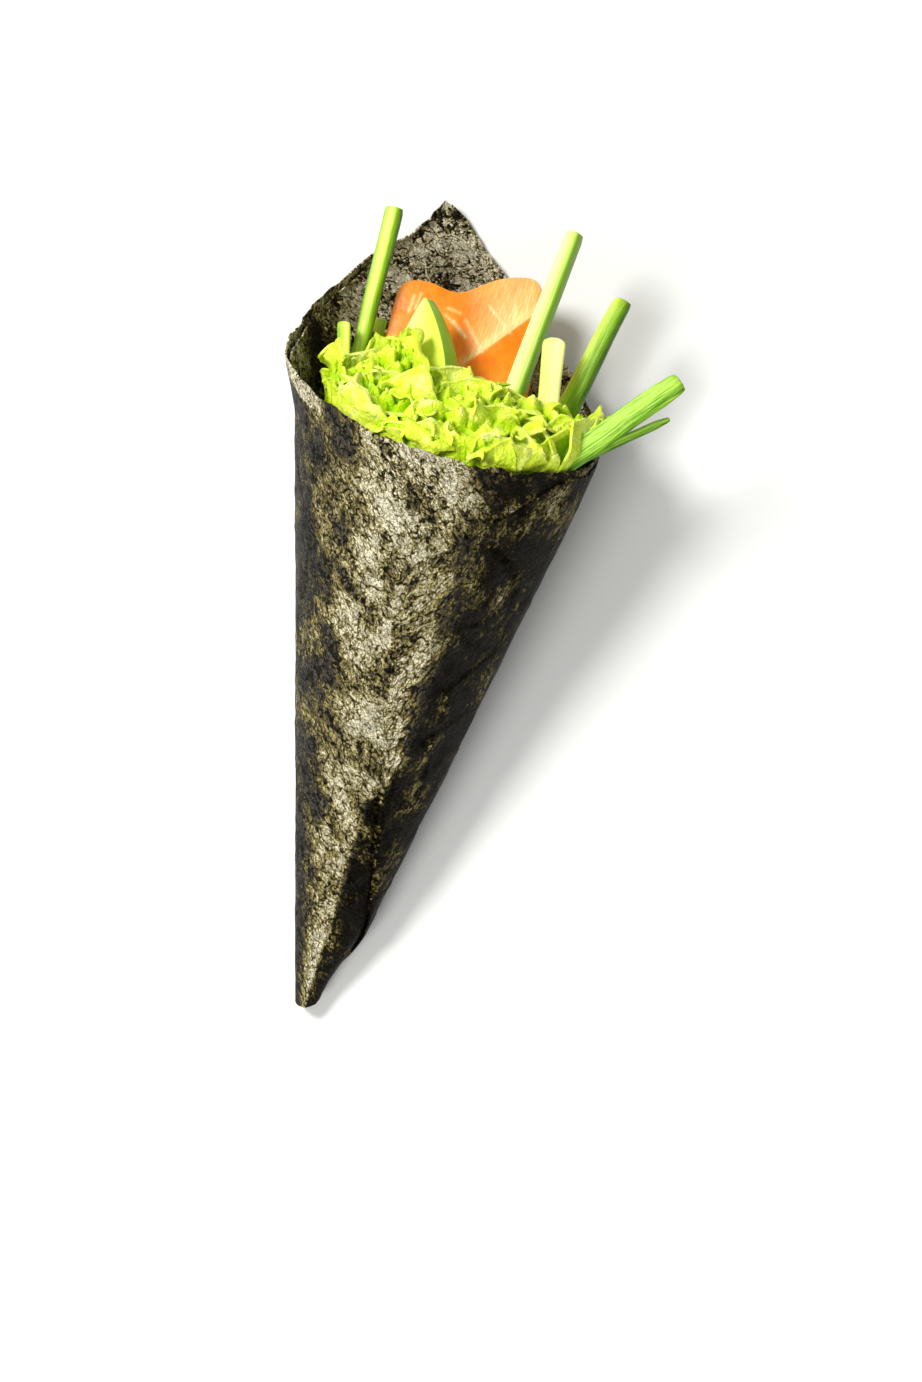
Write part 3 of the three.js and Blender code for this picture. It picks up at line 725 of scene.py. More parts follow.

# %% [markdown]
# ## Sticks
# Scallion stalks are round, their leaf blades are flat, and cucumber is cut into square batons. They
# differ in a few measures only, so a table lists them, and one function makes them all.

# %% The sticks' shapes
# foot and end: the middles of the two end faces, in the roll's frame
# power: the section's shape, with 2 for an ellipse and more for a squarer one
# sections: share of the length, width and depth
# pale_at: where across it is palest, with -1 for its left side and 1 for its right, or beyond them;
# on the stalks and leaf blades the darker side is painted shade, on the cucumbers it is the skin side
# green: how far it gets from the pale colour to the dark one, 1 where the table has none
# ribs and bulge: the height of its lengthwise ribs and of its end faces, twist: in degrees
SQUARE, BLADE_LIKE, ROUND = 7, 4, 2.6
STICKS = {
    "scallion_left": dict(
        material=STALK, slot="scallion", foot=(-18.4, 104, -4.5), end=(-18.3, 156.6, -11), power=ROUND,
        pale_at=-0.25, sections=((0, 2.8, 2.8), (0.45, 2.8, 2.8), (1, 3.4, 3.2)), ribs=0.07),
    "scallion_right": dict(
        material=STALK, slot="scallion", foot=(14.3, 105, -3.3), end=(25.1, 150, -8), power=ROUND,
        pale_at=-1.3, ribs=0.09,
        sections=((0, 4.2, 3.6), (0.4, 4.8, 3.8), (0.58, 4.0, 3.6), (1, 3.3, 3.2))),
    "leaf_wide": dict(
        material=BLADE, slot="scallion", foot=(10.4, 108.3, 10.3), end=(37.7, 138.8, 10.3),
        power=BLADE_LIKE, pale_at=-0.4, green=0.8, ribs=0.03,
        sections=((0, 3.6, 1.2), (0.35, 4.2, 1.3), (0.9, 4.2, 1.3), (1, 3.6, 1.2))),
    "leaf_thin": dict(
        material=BLADE, slot="scallion", foot=(13, 112.6, 7), end=(37.4, 132, 7), power=BLADE_LIKE,
        pale_at=-0.2, sections=((0, 1.4, 1), (0.6, 1.6, 1.2), (0.92, 1.5, 1.2), (1, 0.9, 0.8)), ribs=0.03),
    "cucumber_long": dict(
        material=CUCUMBER, slot="cucumber", foot=(5.5, 95, -0.1), end=(14.1, 159.6, -10.5), power=SQUARE,
        twist=-24, pale_at=-1, sections=((0, 3.7, 2.9), (0.6, 3.4, 2.8), (1, 2.9, 2.8)), ribs=0.03),
    "cucumber_short": dict(
        material=CUCUMBER, slot="cucumber", foot=(18.6, 112, 3.2), end=(15.1, 140.3, -1), power=SQUARE,
        pale_at=0.4, green=0.55, sections=((0, 3.6, 3.2), (0.75, 3.8, 3.3), (1, 4.1, 3.2)), ribs=0.03,
        bulge=0.8),
    "cucumber_left": dict(
        material=CUCUMBER_SKIN, slot="cucumber_skin_side", foot=(-17, 113, -1), end=(-22.2, 134.9, -3),
        power=SQUARE, pale_at=0.4, sections=((0, 2.2, 1.8), (1, 2.3, 1.8)), ribs=0.02),
    "cucumber_chip": dict(
        material=CUCUMBER, slot="cucumber", foot=(-16.2, 113, -11.2), end=(-16.6, 136.7, -12.2),
        power=SQUARE, pale_at=-1, sections=((0, 2.8, 1.6), (1, 3, 1.6)), ribs=0.02),
}
print(len(STICKS), "sticks and leaf blades")

# %% [markdown]
# Each one starts as a cylinder. Its lengthwise edges are subdivided and its end faces are inset, so
# that it has points to move all along and over its ends. They go to a section between round and
# square, with a width and depth that change along the stick. Its own coordinates are millimetres across
# and along it, and how dark it is: towards the skin side on the cucumbers, and painted shade on one side
# of the stalks and leaf blades.

# %% Make the sticks
STICK_SIDES, STICK_CUTS = 48, 48
END_RINGS = (0.12, 0.25, 0.3)                 # insets of an end face, as shares of its radius
END_ROUNDING, ENDS_FROM = 0.1, 0.012          # how much thinner the ends get, over what share of the length
RIB_PATH = 2.2                                # ribs are noise on a circle: the larger it is, the more ribs


def open_edit(piece, kind, chosen):
    """Opens edit mode with only the chosen edges or faces selected."""
    bpy.ops.object.mode_set(mode="EDIT")
    bpy.ops.mesh.select_mode(type=kind)
    bpy.ops.mesh.select_all(action="DESELECT")
    bpy.ops.object.mode_set(mode="OBJECT")
    for element in piece.data.edges if kind == "EDGE" else piece.data.polygons:
        element.select = chosen(element)
    bpy.ops.object.mode_set(mode="EDIT")


def stick_axes(foot, end, twist=0):
    """The stick's own x, y and z as directions of the roll's frame, and its length."""
    along = Vector(end) - Vector(foot)
    length = along.length
    along.normalize()
    across = along.cross(Vector((0, 0, 1))).normalized()
    front = across.cross(along)
    turn = Matrix.Rotation(math.radians(twist), 3, along)
    return turn @ across, along, turn @ front, length


def make_stick(name, material, slot, foot, end, power, pale_at, sections, ribs,
               twist=0, bulge=0.3, green=1):
    deselect_all()
    bpy.ops.mesh.primitive_cylinder_add(vertices=STICK_SIDES, radius=1, depth=1)
    piece = bpy.context.object

    def is_lengthwise(edge):
        low, high = (piece.data.vertices[i].co for i in edge.vertices)
        return abs(low.z - high.z) > 0.5

    open_edit(piece, "EDGE", is_lengthwise)
    bpy.ops.mesh.subdivide(number_cuts=STICK_CUTS)
    open_edit(piece, "FACE", lambda face: abs(face.normal.z) > 0.5)
    for ring in END_RINGS:
        bpy.ops.mesh.inset(thickness=ring, use_even_offset=False)
    bpy.ops.object.mode_set(mode="OBJECT")

    place = points_of(piece)
    share = place[:, 2] + 0.5
    angle = np.arctan2(place[:, 1], place[:, 0])
    out = np.hypot(place[:, 0], place[:, 1])
    width, depth = (np.interp(share, [s[0] for s in sections], [s[k] for s in sections]) for k in (1, 2))
    size = (np.abs(np.cos(angle)) ** power + np.abs(np.sin(angle)) ** power) ** (-1 / power)
    axis_x, axis_y, axis_z, length = stick_axes(foot, end, twist)
    round_it = np.stack([RIB_PATH * np.cos(angle), RIB_PATH * np.sin(angle), share], axis=-1)
    rib = ribs * 2 * noise_at(round_it, 1, sum(foot)) * (out > 0.99)
    near_end = np.clip((np.abs(share - 0.5) - 0.5) / ENDS_FROM + 1, 0, 1)
    end_round = 1 - END_ROUNDING * near_end ** 2
    x = (0.5 * width * end_round + rib) * size * out * np.cos(angle)
    z = (0.5 * depth * end_round + rib) * size * out * np.sin(angle)
    y = share * length + np.sign(share - 0.5) * bulge * (1 - out ** 2)
    wander = noise_at(np.stack([0 * y, y, 0 * y], axis=-1), 14, sum(foot)) * 0.35 * share
    frame_axes = np.array([axis_x, axis_y, axis_z])
    own = np.stack([x + wander, y, z], axis=-1)
    move_points(piece, laid_down(np.array(foot) + own @ frame_axes))
    # darker away from pale_at: the cucumbers' skin side, and painted shade on the stalks and leaf blades
    to_dark = green * np.abs(2 * x / width - pale_at) / (1 + abs(pale_at))
    store_own(piece, np.stack([x + 0.7 * z, y, to_dark], axis=-1))
    outward(piece)
    finish_piece(piece, name + "_stick", material, [name], smooth_angle=50)


for stick_name, shape in STICKS.items():
    make_stick(stick_name, **shape)

# %% [markdown]
# ## The slice of salmon
# The slice is a square with round corners. It leans back, sags at the top left and has a soft ridge
# from low left to high right. A flat grid is made a slab by Solidify first, and then its front points go
# to the slice's front, and its back points as far behind it everywhere. Solidify on the curved face
# would fold the back's edge over itself. Bevel then softens the edge. The own z coordinate says how
# pale the flesh is.

# %% Make the salmon
# x of the left edge, x of the right edge at its foot and its top, and how far that edge bulges
SALMON_LEFT, SALMON_FOOT_RIGHT, SALMON_TOP_RIGHT, SALMON_BULGE = -14.6, 12.5, 11.2, 3
SALMON_FOOT_Y, SALMON_FOOT_Z, SALMON_THICKNESS, SALMON_LEAN = 107, -6.8, 6, 0.27
SALMON_TOP, SALMON_TOP_SLOPE = 148.2, 0.26
LEFT_CORNERS, RIGHT_CORNERS = 13, 8           # 2 would make the slice round, and more makes it squarer
SALMON_CROWN = 0.6                            # how far the front falls back at its edge
SALMON_FACES = SALMON_THICKNESS - 0.9         # from front to back, with room for the ridge in front
SAG_X, SAG_DEPTH, SAG_SPREAD = -3.6, 2.6, 4.6
RIDGE_AT, RIDGE_SLOPE, RIDGE_HEIGHT, RIDGE_SPREAD = (-0.6, 131.4), 1.14, 1.1, 5
# thin lines of fat: x and y of both ends
FAT_LINES = (
    (-5.0, 140.2, -0.4, 137.0), (-3.4, 139.5, -0.7, 137.2), (-5.0, 141.5, -2.5, 141.1),
    (-1.4, 140.2, 2.8, 135.4), (2.1, 143.6, 7.0, 139.7), (-10.2, 142.9, -10.6, 140.2),
    (-11.3, 142.2, -11.6, 139.5))


def salmon_front(across, up):
    """Points of the front for shares from -1 to 1 across and up, and how far above the ridge each is."""
    edge = np.maximum(np.abs(across), np.abs(up))
    power = np.where(across < 0, LEFT_CORNERS, RIGHT_CORNERS)
    corner = (np.abs(across) ** power + np.abs(up) ** power) ** (1 / power)
    rounding = np.where(corner > 0, edge / np.maximum(corner, 1e-9), 1)
    u, v = 0.5 + 0.5 * across * rounding, 0.5 + 0.5 * up * rounding
    right = SALMON_FOOT_RIGHT + (SALMON_TOP_RIGHT - SALMON_FOOT_RIGHT) * v + SALMON_BULGE * v * (1 - v)
    x = SALMON_LEFT + (right - SALMON_LEFT) * u
    top = SALMON_TOP + SALMON_TOP_SLOPE * x - SAG_DEPTH * hump(x - SAG_X, SAG_SPREAD)
    y = SALMON_FOOT_Y + (top - SALMON_FOOT_Y) * v
    from_ridge = (y - RIDGE_AT[1]) - RIDGE_SLOPE * (x - RIDGE_AT[0])
    raised = RIDGE_HEIGHT * hump(from_ridge, RIDGE_SPREAD) * (1 - edge ** 4)
    crown = 0.5 * SALMON_THICKNESS - SALMON_CROWN * edge ** 10
    z = SALMON_FOOT_Z - SALMON_LEAN * (y - SALMON_FOOT_Y) + crown + raised
    return np.stack([x, y, z], axis=-1), from_ridge


def make_salmon():
    deselect_all()
    bpy.ops.mesh.primitive_grid_add(x_subdivisions=110, y_subdivisions=150, size=2)
    piece = bpy.context.object
    apply_modifier(piece, "SOLIDIFY", thickness=1, offset=-1)
    slab = points_of(piece)
    points, from_ridge = salmon_front(slab[:, 0], slab[:, 1])
    x, y = points[:, 0], points[:, 1]
    points[:, 2] += 0.18 * noise_at(points, 6, 2)
    # the pale fan starts above the ridge and fades away from it and near the right edge
    fan = smooth_step(-3, 6, x + 0.2 * (y - 140)) * smooth_step(-0.2, 0.3, from_ridge)
    fan *= 0.35 + 0.65 * np.exp(-np.maximum(from_ridge, 0) / 7)
    fan *= 1 - 0.6 * smooth_step(8.5, 11.5, x)
    # a painted highlight along the ridge's crest
    ridge_highlight = hump(np.maximum(from_ridge - 0.6, 0) + 3 * np.maximum(0.4 - from_ridge, 0), 1.3)
    # the term in x makes the left edge paler: painted light that offsets its shade
    pale = 0.03 + 0.8 * fan + 0.55 * ridge_highlight * smooth_step(-3, 1, x) + 0.06 * smooth_step(-8, -12, x)
    for x_1, y_1, x_2, y_2 in FAT_LINES:
        away = from_line(np.stack([x - x_1, y - y_1], axis=-1), np.array((x_2 - x_1, y_2 - y_1)))[1]
        distance = np.linalg.norm(away, axis=1)
        pale += 0.6 * hump(distance + 0.12 * noise_at(points, 0.8, x_1), 0.24)
    pale = np.clip(pale, 0, 1)
    # the grain fans out above the ridge and runs one way below it
    fan_turn = np.radians(np.where(from_ridge > 0, 118 - 2.2 * (x - RIDGE_AT[0]), 48))
    across = x * np.sin(fan_turn) - y * np.cos(fan_turn)
    along = x * np.cos(fan_turn) + y * np.sin(fan_turn)
    to_back = np.array((0, SALMON_LEAN, 1)) * SALMON_FACES / math.hypot(1, SALMON_LEAN)
    move_points(piece, laid_down(points + slab[:, 2:] * to_back))
    store_own(piece, np.stack([across, along, pale], axis=-1))
    apply_modifier(piece, "BEVEL", width=0.12 * MM, segments=2, limit_method="ANGLE")
    return piece


salmon = make_salmon()
finish_piece(salmon, "salmon_slice", SALMON, ["salmon"], smooth_angle=70)

# %% [markdown]
# ## The slice of avocado
# The slice is a half-moon between an outer arc and a flatter inner one. The grid's rows run between
# the arcs. Solidify and Bevel make it a slab with soft edges, which then gets thinner towards its two
# ends. The own x coordinate is 0 at the inner arc and 1 on the outer flank, next to the skin.

# %% Make the avocado
AVOCADO_HALF, AVOCADO_OUTER, AVOCADO_INNER, AVOCADO_THICKNESS = 21.5, 10.5, 3, 4.8
AVOCADO_REACH = 0.985                         # the grid ends just short of the tips, so no face is thin
AVOCADO_MIDDLE = Vector((-9.2, 121.3, -2.2))
AVOCADO_TURN = Matrix.Rotation(math.radians(-30), 3, "Y") @ Matrix.Rotation(math.radians(-4), 3, "X")


def arc_bulge(bulge, along):
    """How far an arc with this bulge stands out at a place along its chord."""
    radius = (AVOCADO_HALF ** 2 + bulge ** 2) / (2 * bulge)
    return np.sqrt(np.maximum(radius ** 2 - along ** 2, 0)) - (radius - bulge)


def colour_flank(piece):
    """The outer flank, next to the skin, gets the own x of 1 all over."""
    own = piece.data.attributes["own"].data
    for face in piece.data.polygons:
        if face.normal.x > 0.5:
            for index in face.vertices:
                own[index].vector = (1.0, own[index].vector[1], own[index].vector[2])


def make_avocado():
    deselect_all()
    bpy.ops.mesh.primitive_grid_add(x_subdivisions=26, y_subdivisions=80, size=1)
    piece = bpy.context.object
    grid = points_of(piece) + 0.5
    along = AVOCADO_HALF * AVOCADO_REACH * np.sin((grid[:, 1] - 0.5) * math.pi)
    inner, outer = -arc_bulge(AVOCADO_INNER, along), arc_bulge(AVOCADO_OUTER, along)
    x = inner + (outer - inner) * grid[:, 0]
    flat = np.stack([x, along, 0 * x], axis=-1)
    move_points(piece, flat * MM)
    store_own(piece, np.stack([grid[:, 0] * 0.9, along, 0 * x], axis=-1))
    apply_modifier(piece, "SOLIDIFY", thickness=AVOCADO_THICKNESS * MM, offset=0)
    apply_modifier(piece, "BEVEL", width=0.35 * MM, segments=2, limit_method="ANGLE")
    colour_flank(piece)
    slab = points_of(piece) / MM
    taper = np.sqrt(np.clip(1 - (np.abs(slab[:, 1]) / AVOCADO_HALF) ** 2.2, 0.0, 1))
    slab[:, 2] = slab[:, 2] * (0.45 + 0.55 * taper) + 0.22 * noise_at(slab, 7, 4)
    placed = slab @ np.array(AVOCADO_TURN).T + np.array(AVOCADO_MIDDLE)
    move_points(piece, laid_down(placed))
    outward(piece)
    return piece


avocado = make_avocado()
finish_piece(avocado, "avocado_slice", AVOCADO, ["avocado"], smooth_angle=50)

# %% [markdown]
# ## The heap of lettuce
# The lettuce fills the mouth in a heap of leaves, and below them it is a dense mass. So the heap is
# made of real leaves that stand in a closed core. Both need the same two shapes: the top of the heap,
# as a height for each direction and distance from the axis, and its folds.

# %% The heap's shape
HEAP_FRONT, HEAP_SIDES, HEAP_BACK, HEAP_MIDDLE = 118.5, 127.5, 125, 128.5     # heights of its top
LEFT_RISE, LEFT_RISE_AT, LEFT_RISE_SPREAD = 7, -0.46, 0.17       # lettuce that stands up on the left
HEAP_WIDEST_Y = 124                           # the heap gets no wider above this height
HEAP_INSET = 2.3                              # from the cone's outer surface
ROOM_AT_LEFT = 1.8                            # bare wall between the rim and the lettuce, on the left


def heap_height(angle, share):
    """Height of the heap's top at an angle round the axis and a share of the way out to the wall."""
    facing = np.cos(np.radians(angle))
    front = HEAP_SIDES + (HEAP_FRONT - HEAP_SIDES) * np.maximum(facing, 0) ** 1.5
    wall = np.where(facing > 0, front, HEAP_SIDES + (HEAP_BACK - HEAP_SIDES) * -facing)
    behind = smooth_step(0.5, -0.1, share * facing)
    left = LEFT_RISE * hump(share * np.sin(np.radians(angle)) - LEFT_RISE_AT, LEFT_RISE_SPREAD) * behind
    return wall + (HEAP_MIDDLE - wall) * (1 - share ** 2.6) + left


def heap_point(angle, share, drop=0.0, inset=HEAP_INSET):
    """A point of the heap's top, or of a surface that is lower by the drop and further from the wall."""
    y = heap_height(angle, share) - drop
    room = ROOM_AT_LEFT * smooth_step(-5, -45, signed(angle)) * smooth_step(-150, -110, signed(angle))
    wall = cone_point(angle, np.minimum(y, HEAP_WIDEST_Y), inset + room * smooth_step(104, 114, y))
    z = np.maximum(share * wall[:, 2], floor_z(y, HEAP_INSET))
    return np.stack([share * wall[:, 0], y, z], axis=-1)


def folds(points):
    """Rounded folds with sharp valleys between them, in millimetres."""
    bent = points + 1.6 * np.stack([noise_at(points, 5, seed) for seed in (2, 12, 22)], axis=-1)
    large, small, tiny = (np.abs(noise_at(bent, size, 7 * size)) for size in (4.6, 2.2, 1.1))
    return 3.8 * large + 2.2 * small + 0.9 * tiny - 1.0


print("the heap's middle is at height", round(float(heap_height(0.0, 0.0)), 1), "mm")

# %% [markdown]
# ## Room for the other pieces
# Soft leaves give way to what is stuck between them. Cutting them with Boolean operators would leave
# ragged holes, so points of the lettuce that lie in another piece are moved out of it. A stick pushes
# them away from its middle line, a slice through its nearer face, and the nori pulls them in.

# %% Keep the lettuce clear of the other pieces
CLEARANCE = 0.35
SOFT_FROM = 0.86                              # share of the way to the wall where leaves start to give way
WALL_INSET = PITCH * 1.9 + THICKNESS + 0.5    # inside the last turn of nori, with some room
LEAN_OUT = 0.45                               # how far leaves may lean out for each millimetre over the rim


def clear_of_sticks(points):
    """Pushes points away from the middle lines of the sticks, by half of each stick's greatest width."""
    for shape in STICKS.values():
        foot, end = np.array(shape["foot"], float), np.array(shape["end"], float)
        away = from_line(points - foot, end - foot)[1]
        distance = np.maximum(np.linalg.norm(away, axis=1), 1e-6)
        reach = 0.5 * max(max(s[1], s[2]) for s in shape["sections"]) + CLEARANCE
        points = points + away * (np.maximum(reach / distance, 1) - 1)[:, None]
    return points


def clear_of_slices(points):
    """Moves points out of the salmon and the avocado, through the nearer face."""
    x, y, z = points.T
    middle = SALMON_FOOT_Z - SALMON_LEAN * (y - SALMON_FOOT_Y)
    half = 0.5 * SALMON_THICKNESS + CLEARANCE
    ridge = RIDGE_HEIGHT * hump((y - RIDGE_AT[1]) - RIDGE_SLOPE * (x - RIDGE_AT[0]), RIDGE_SPREAD)
    inside = (x > SALMON_LEFT) & (x < SALMON_FOOT_RIGHT + 1)
    inside &= (z > middle - half) & (z < middle + half + ridge)
    points[:, 2] = np.where(inside, np.where(z > middle, middle + half + ridge, middle - half), z)
    turn = np.array(AVOCADO_TURN)
    own = (points - np.array(AVOCADO_MIDDLE)) @ turn
    half = 0.5 * AVOCADO_THICKNESS + CLEARANCE
    reach = np.clip(own[:, 1], -AVOCADO_HALF, AVOCADO_HALF)
    within = (own[:, 0] > -arc_bulge(AVOCADO_INNER, reach) - CLEARANCE)
    within &= (own[:, 0] < arc_bulge(AVOCADO_OUTER, reach) + CLEARANCE)
    within &= (np.abs(own[:, 1]) < AVOCADO_HALF) & (np.abs(own[:, 2]) < half)
    own[:, 2] = np.where(within, np.where(own[:, 2] > 0, half, -half), own[:, 2])
    return own @ turn.T + np.array(AVOCADO_MIDDLE)


def clear_of_nori(points):
    """Pulls points in to the wall, and lets them lean out a little above its rim."""
    angle = np.degrees(np.arctan2(points[:, 0] / WIDTH_SLOPE, points[:, 2] / DEPTH_SLOPE))
    rim_turn = (angle + (360 - OUTER_CORNER)) % 360 + OUTER_CORNER
    rim_y = edge_slant(TOP_EDGE, TOP_FOOT, rim_turn) / slant_rate(angle)
    over = np.clip(points[:, 1] - rim_y, 0, 4) * smooth_step(-60, -20, angle)
    room_at_left = ROOM_AT_LEFT * smooth_step(-5, -45, angle) * smooth_step(104, 114, points[:, 1])
    wall = cone_point(angle, np.minimum(points[:, 1], rim_y), WALL_INSET + room_at_left - over * LEAN_OUT)
    facet = np.maximum(-relief(angle, np.minimum(points[:, 1], rim_y)), 0) * (over <= 0)
    share = np.hypot(points[:, 0], points[:, 2]) / np.maximum(np.hypot(wall[:, 0], wall[:, 2]) - facet, 1)
    beyond = np.maximum(share - SOFT_FROM, 0) / (1 - SOFT_FROM)
    kept = np.minimum(share, SOFT_FROM) + (1 - SOFT_FROM) * (1 - np.exp(-beyond))
    shrink = kept / np.maximum(share, 1e-6)
    points = points * np.stack([shrink, np.ones_like(shrink), shrink], axis=-1)
    points[:, 2] = np.maximum(points[:, 2], floor_z(points[:, 1], HEAP_INSET))
    return points


def clear_of_all(points):
    return clear_of_nori(clear_of_slices(clear_of_sticks(points)))


inside_salmon = np.array([[0.0, 120.0, -10.0]])
print("a point in the salmon moves to", clear_of_all(inside_salmon)[0].round(1))

# %% [markdown]
# ## The lettuce's core
# The core keeps the cone filled, so that no gap between the leaves shows an empty inside. It follows
# the inside of the cone and the heap's top, 0.6 mm lower, and has the heap's folds. It starts as a
# sphere, whose lower rings line the wall, and whose upper rings make the top.

# %% Make the core
CORE_FOOT, CORE_WALL_FRONT, CORE_WALL_BACK = 22, 108, 114        # heights where its wall starts and ends
CORE_DROP = 0.6
CORE_GAP = 0.5                                # how much further from the wall it is than the leaves
CORE_WALL = 0.4                               # share of the sphere's rings that line the wall
POLE = 0.005                                  # only the sphere's lowest point is below this share
FOLD_DIRECTION = (0, 1.3, 0.8)                # folds rise out of the heap and to its front


def make_core():
    deselect_all()
    bpy.ops.mesh.primitive_uv_sphere_add(segments=240, ring_count=140, radius=1)
    piece = bpy.context.object
    sphere = points_of(piece)
    angle = np.degrees(np.arctan2(sphere[:, 0], sphere[:, 1]))
    climb = 1 - np.arccos(np.clip(sphere[:, 2], -1, 1)) / math.pi      # 0 at the foot, 1 at the top
    facing = 0.5 + 0.5 * np.cos(np.radians(angle))
    last_row = CORE_WALL_BACK + (CORE_WALL_FRONT - CORE_WALL_BACK) * facing - CORE_DROP
    y_wall = CORE_FOOT + (last_row - CORE_FOOT) * climb / CORE_WALL
    inset = HEAP_INSET + CORE_GAP
    wall = cone_point(angle, y_wall, np.minimum(inset, 0.12 * y_wall))
    wall *= np.where(climb < POLE, 0, 1)[:, None] * (1, 0, 1) + (0, 1, 0)
    wall[:, 2] = np.where(climb < POLE, 0, np.maximum(wall[:, 2], floor_z(y_wall, inset)))
    top = heap_point(angle, np.clip((1 - climb) / (1 - CORE_WALL), 0, 1), CORE_DROP, inset + 1)
    points = np.where((climb < CORE_WALL)[:, None], wall, top)
    raised = smooth_step(CORE_WALL, CORE_WALL + 0.04, climb) * folds(points)
    points += raised[:, None] * np.array(FOLD_DIRECTION)
    points = clear_of_all(points)
    move_points(piece, laid_down(points))
    # paler on the folds' tops and greener in their valleys: painted highlight and painted shade
    store_own(piece, np.stack([0 * raised, 0.1 + 0.3 * raised, 0 * raised], axis=-1))
    outward(piece)
    return piece


core = make_core()
finish_piece(core, "lettuce_core", LETTUCE)

# %% [markdown]
# ## The leaves
# One flat grid is copied for all the leaves, and each copy gets its own shape, because equal leaves
# would show. A leaf fans out from its base, rolls over at its top and ruffles more and more towards its
# margin, in waves of about 6 mm with finer ones on them. All its measures are drawn at random, from a
# fixed seed, so every run makes the same leaves.

# %% One leaf
LEAF_COLUMNS, LEAF_ROWS = 28, 18
LEAF_THICKNESS = 0.45


def leaf_shape(grid, random):
    """Points of a leaf, in millimetres: x across it, y up to where it rolls over, z to its front."""
    u, v = 2 * grid[:, 0], grid[:, 1] + 0.5
    width, height = random.uniform(7, 15), random.uniform(9, 14)
    waves, phase, second = random.uniform(1.2, 2.6), random.uniform(0, 6.3), random.uniform(0, 6.3)
    x = 0.5 * width * u * (0.4 + 0.6 * v ** 0.6)
    rim = np.stack([u * width / 2, 0 * u, 0 * u + phase], axis=-1)
    torn = 1.3 * noise_at(rim, 2.2) + 0.5 * noise_at(rim, 1.1)
    climb = height * v * (1 - 0.25 * u ** 2) + v ** 4 * torn
    roll_radius, straight = random.uniform(1.6, 4.0), random.uniform(0.45, 0.7) * height
    rolled = np.maximum(climb - straight, 0) / roll_radius
    y = np.minimum(climb, straight) + roll_radius * np.sin(rolled)
    z = roll_radius * (1 - np.cos(rolled))
    ruffle = random.uniform(0.7, 1.7) * v ** 1.3
    sway = phase + 1.2 * np.sin(1.7 * u + second)
    z += ruffle * np.sin(waves * math.pi * u + sway)
    z += 0.45 * ruffle * np.sin(2.6 * waves * math.pi * u + second + 2 * v)
    x += 0.5 * ruffle * np.cos(waves * math.pi * u + sway)
    sheet = np.stack([x, climb, 0 * x + 7 * phase], axis=-1)
    z += 0.9 * noise_at(sheet, 3.0) + 0.35 * noise_at(sheet, 1.7, 3)
    x += 0.8 * noise_at(sheet, 2.6, 8)
    y += 0.8 * noise_at(sheet, 2.6, 15)
    z -= random.uniform(0.5, 3.5) * u ** 2
    return np.stack([x, y, z], axis=-1)


print("a leaf has", LEAF_COLUMNS * LEAF_ROWS, "faces on each side")

# %% [markdown]
# The leaves stand in rings, from the wall to the middle, each with its margin near the heap's top and
# its front turned to the wall. They lean outwards, with some chance in every angle. Smooth takes the
# kinks out where they were pushed aside, and Solidify gives them their thickness. Leaves are paler
# towards their margin, at the heap's top, partly their own colour and partly painted highlight.

# %% Place the leaves on the heap
# for each ring: share of the way to the wall, number of leaves, and lean outwards in degrees
RINGS = ((0.95, 26, 12), (0.82, 22, 20), (0.62, 16, 24), (0.42, 12, 18), (0.2, 7, 8))
LEAF_SEED = 11
BASE_PALENESS, MARGIN_PALENESS, LEAF_TINT = 0.47, 0.18, 0.12     # at the base, gained up to the margin partly as painted highlight, and a random tint


def place_leaf(leaf, angle, share, lean, random):
    """A leaf's points in the roll's frame: margin at the heap's top, front turned to the wall."""
    top = heap_point(np.array([angle]), np.array([share]), random.uniform(-2.4, 0.8))[0]
    turn = Matrix.Rotation(math.radians(angle + random.uniform(-60, 60)), 3, "Y")
    tip = Matrix.Rotation(math.radians(lean + random.uniform(-25, 35)), 3, "X")
    roll = Matrix.Rotation(math.radians(random.uniform(-40, 40)), 3, "Z")
    matrix = np.array(turn @ tip @ roll)
    margin = np.array((0, leaf[:, 1].max(), leaf[:, 2].mean()))
    return (leaf - margin) @ matrix.T + top


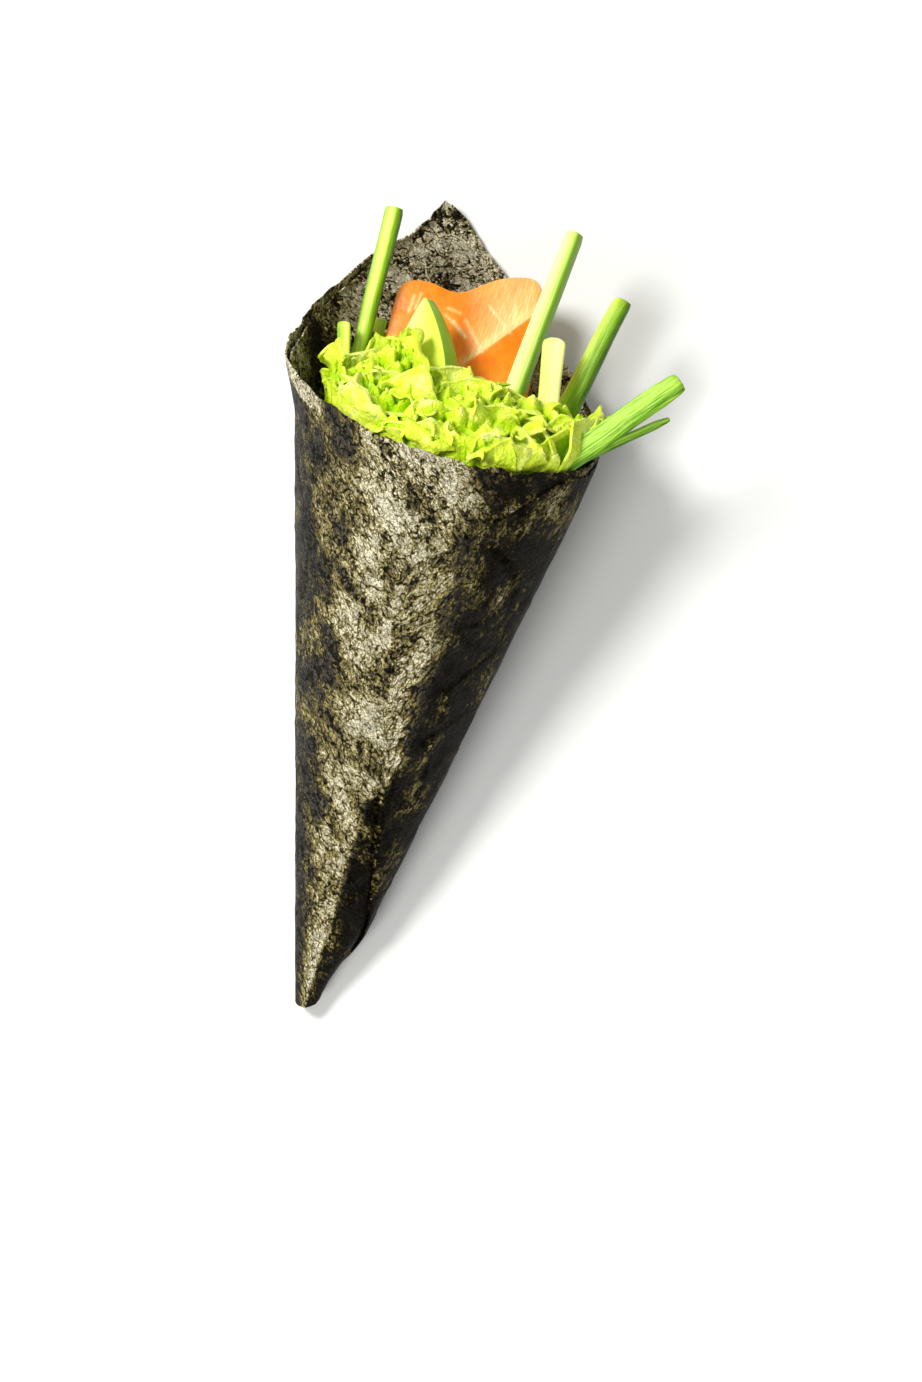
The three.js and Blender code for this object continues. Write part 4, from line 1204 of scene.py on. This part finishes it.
def make_leaves():
    random = np.random.default_rng(LEAF_SEED)
    deselect_all()
    bpy.ops.mesh.primitive_grid_add(x_subdivisions=LEAF_COLUMNS, y_subdivisions=LEAF_ROWS, size=1)
    first = bpy.context.object
    grid = points_of(first)
    leaves = []
    for share, number, lean in RINGS:
        for step in range(number):
            angle = 360 * (step + random.uniform(-0.3, 0.3)) / number
            points = place_leaf(leaf_shape(grid, random), angle, share, lean, random)
            points = clear_of_all(points)
            leaf = first.copy()
            leaf.data = first.data.copy()
            bpy.context.scene.collection.objects.link(leaf)
            move_points(leaf, laid_down(points))
            tint = random.uniform(-LEAF_TINT, LEAF_TINT)
            pale = BASE_PALENESS + MARGIN_PALENESS * (grid[:, 1] + 0.5) + tint
            store_own(leaf, np.stack([grid[:, 0], pale, 0 * pale], axis=-1))
            leaves.append(leaf)
    bpy.data.objects.remove(first)
    select_only(leaves[0])
    for leaf in leaves:
        leaf.select_set(True)
    bpy.ops.object.join()
    heap = bpy.context.object
    apply_modifier(heap, "SMOOTH", factor=0.5, iterations=2)
    apply_modifier(heap, "SOLIDIFY", thickness=LEAF_THICKNESS * MM, offset=0)
    print("joined", len(leaves), "leaves")
    return heap


leaves = make_leaves()
finish_piece(leaves, "lettuce_leaves", LETTUCE, ["lettuce"], smooth_angle=80)

# %% [markdown]
# ## Floor and light
# A plain pale floor, one large soft light from the left, a second one from beyond the tip, which the
# nori's bright band reflects, and a pale sky that fills the shadows.

# %% Make the floor and the lights
FLOOR_COLOUR = 0xF4F4F1
SKY_STRENGTH = 0.33
# name: direction from the roll, size and distance in metres, power in watts
LIGHTS = {
    "key": (Vector((-0.7, 0.25, 1.0)), 0.25, 0.75, 5.6),
    "band": (Vector((-0.28, -0.67, 0.69)), 0.3, 0.75, 2.8),
}


def make_floor():
    deselect_all()
    bpy.ops.mesh.primitive_circle_add(vertices=96, radius=1.6, fill_type="NGON", location=(0, 0, 0))
    floor = bpy.context.object
    floor.name = "floor"
    material, tree, shader = new_material("Matt painted board", Roughness=0.85)
    grain = add_node(tree, "TexNoise", {
        "Vector": add_node(tree, "TexCoord").outputs["Object"], "Scale": 1 / (1.5 * MM), "Detail": 2.0})
    shader.inputs["Base Color"].default_value = linear(FLOOR_COLOUR)
    bumped(tree, shader, [(grain.outputs["Fac"], 0.02)])
    floor.data.materials.append(material)


def make_light(name, direction, size, distance, power):
    data = bpy.data.lights.new(name, "AREA")
    data.shape = "DISK"
    data.size = size
    data.energy = power
    light = bpy.data.objects.new(name, data)
    bpy.context.scene.collection.objects.link(light)
    light.location = CAMERA_AIM + direction.normalized() * distance
    light.rotation_euler = direction.to_track_quat("Z", "Y").to_euler()


def make_sky():
    world = bpy.data.worlds.new("studio")
    world.use_nodes = True
    background = next(node for node in world.node_tree.nodes if node.type == "BACKGROUND")
    background.inputs["Color"].default_value = linear(0xFFFFFF)
    background.inputs["Strength"].default_value = SKY_STRENGTH
    bpy.context.scene.world = world


make_floor()
for light_name, facts in LIGHTS.items():
    make_light(light_name, *facts)
make_sky()
print("stage ready")
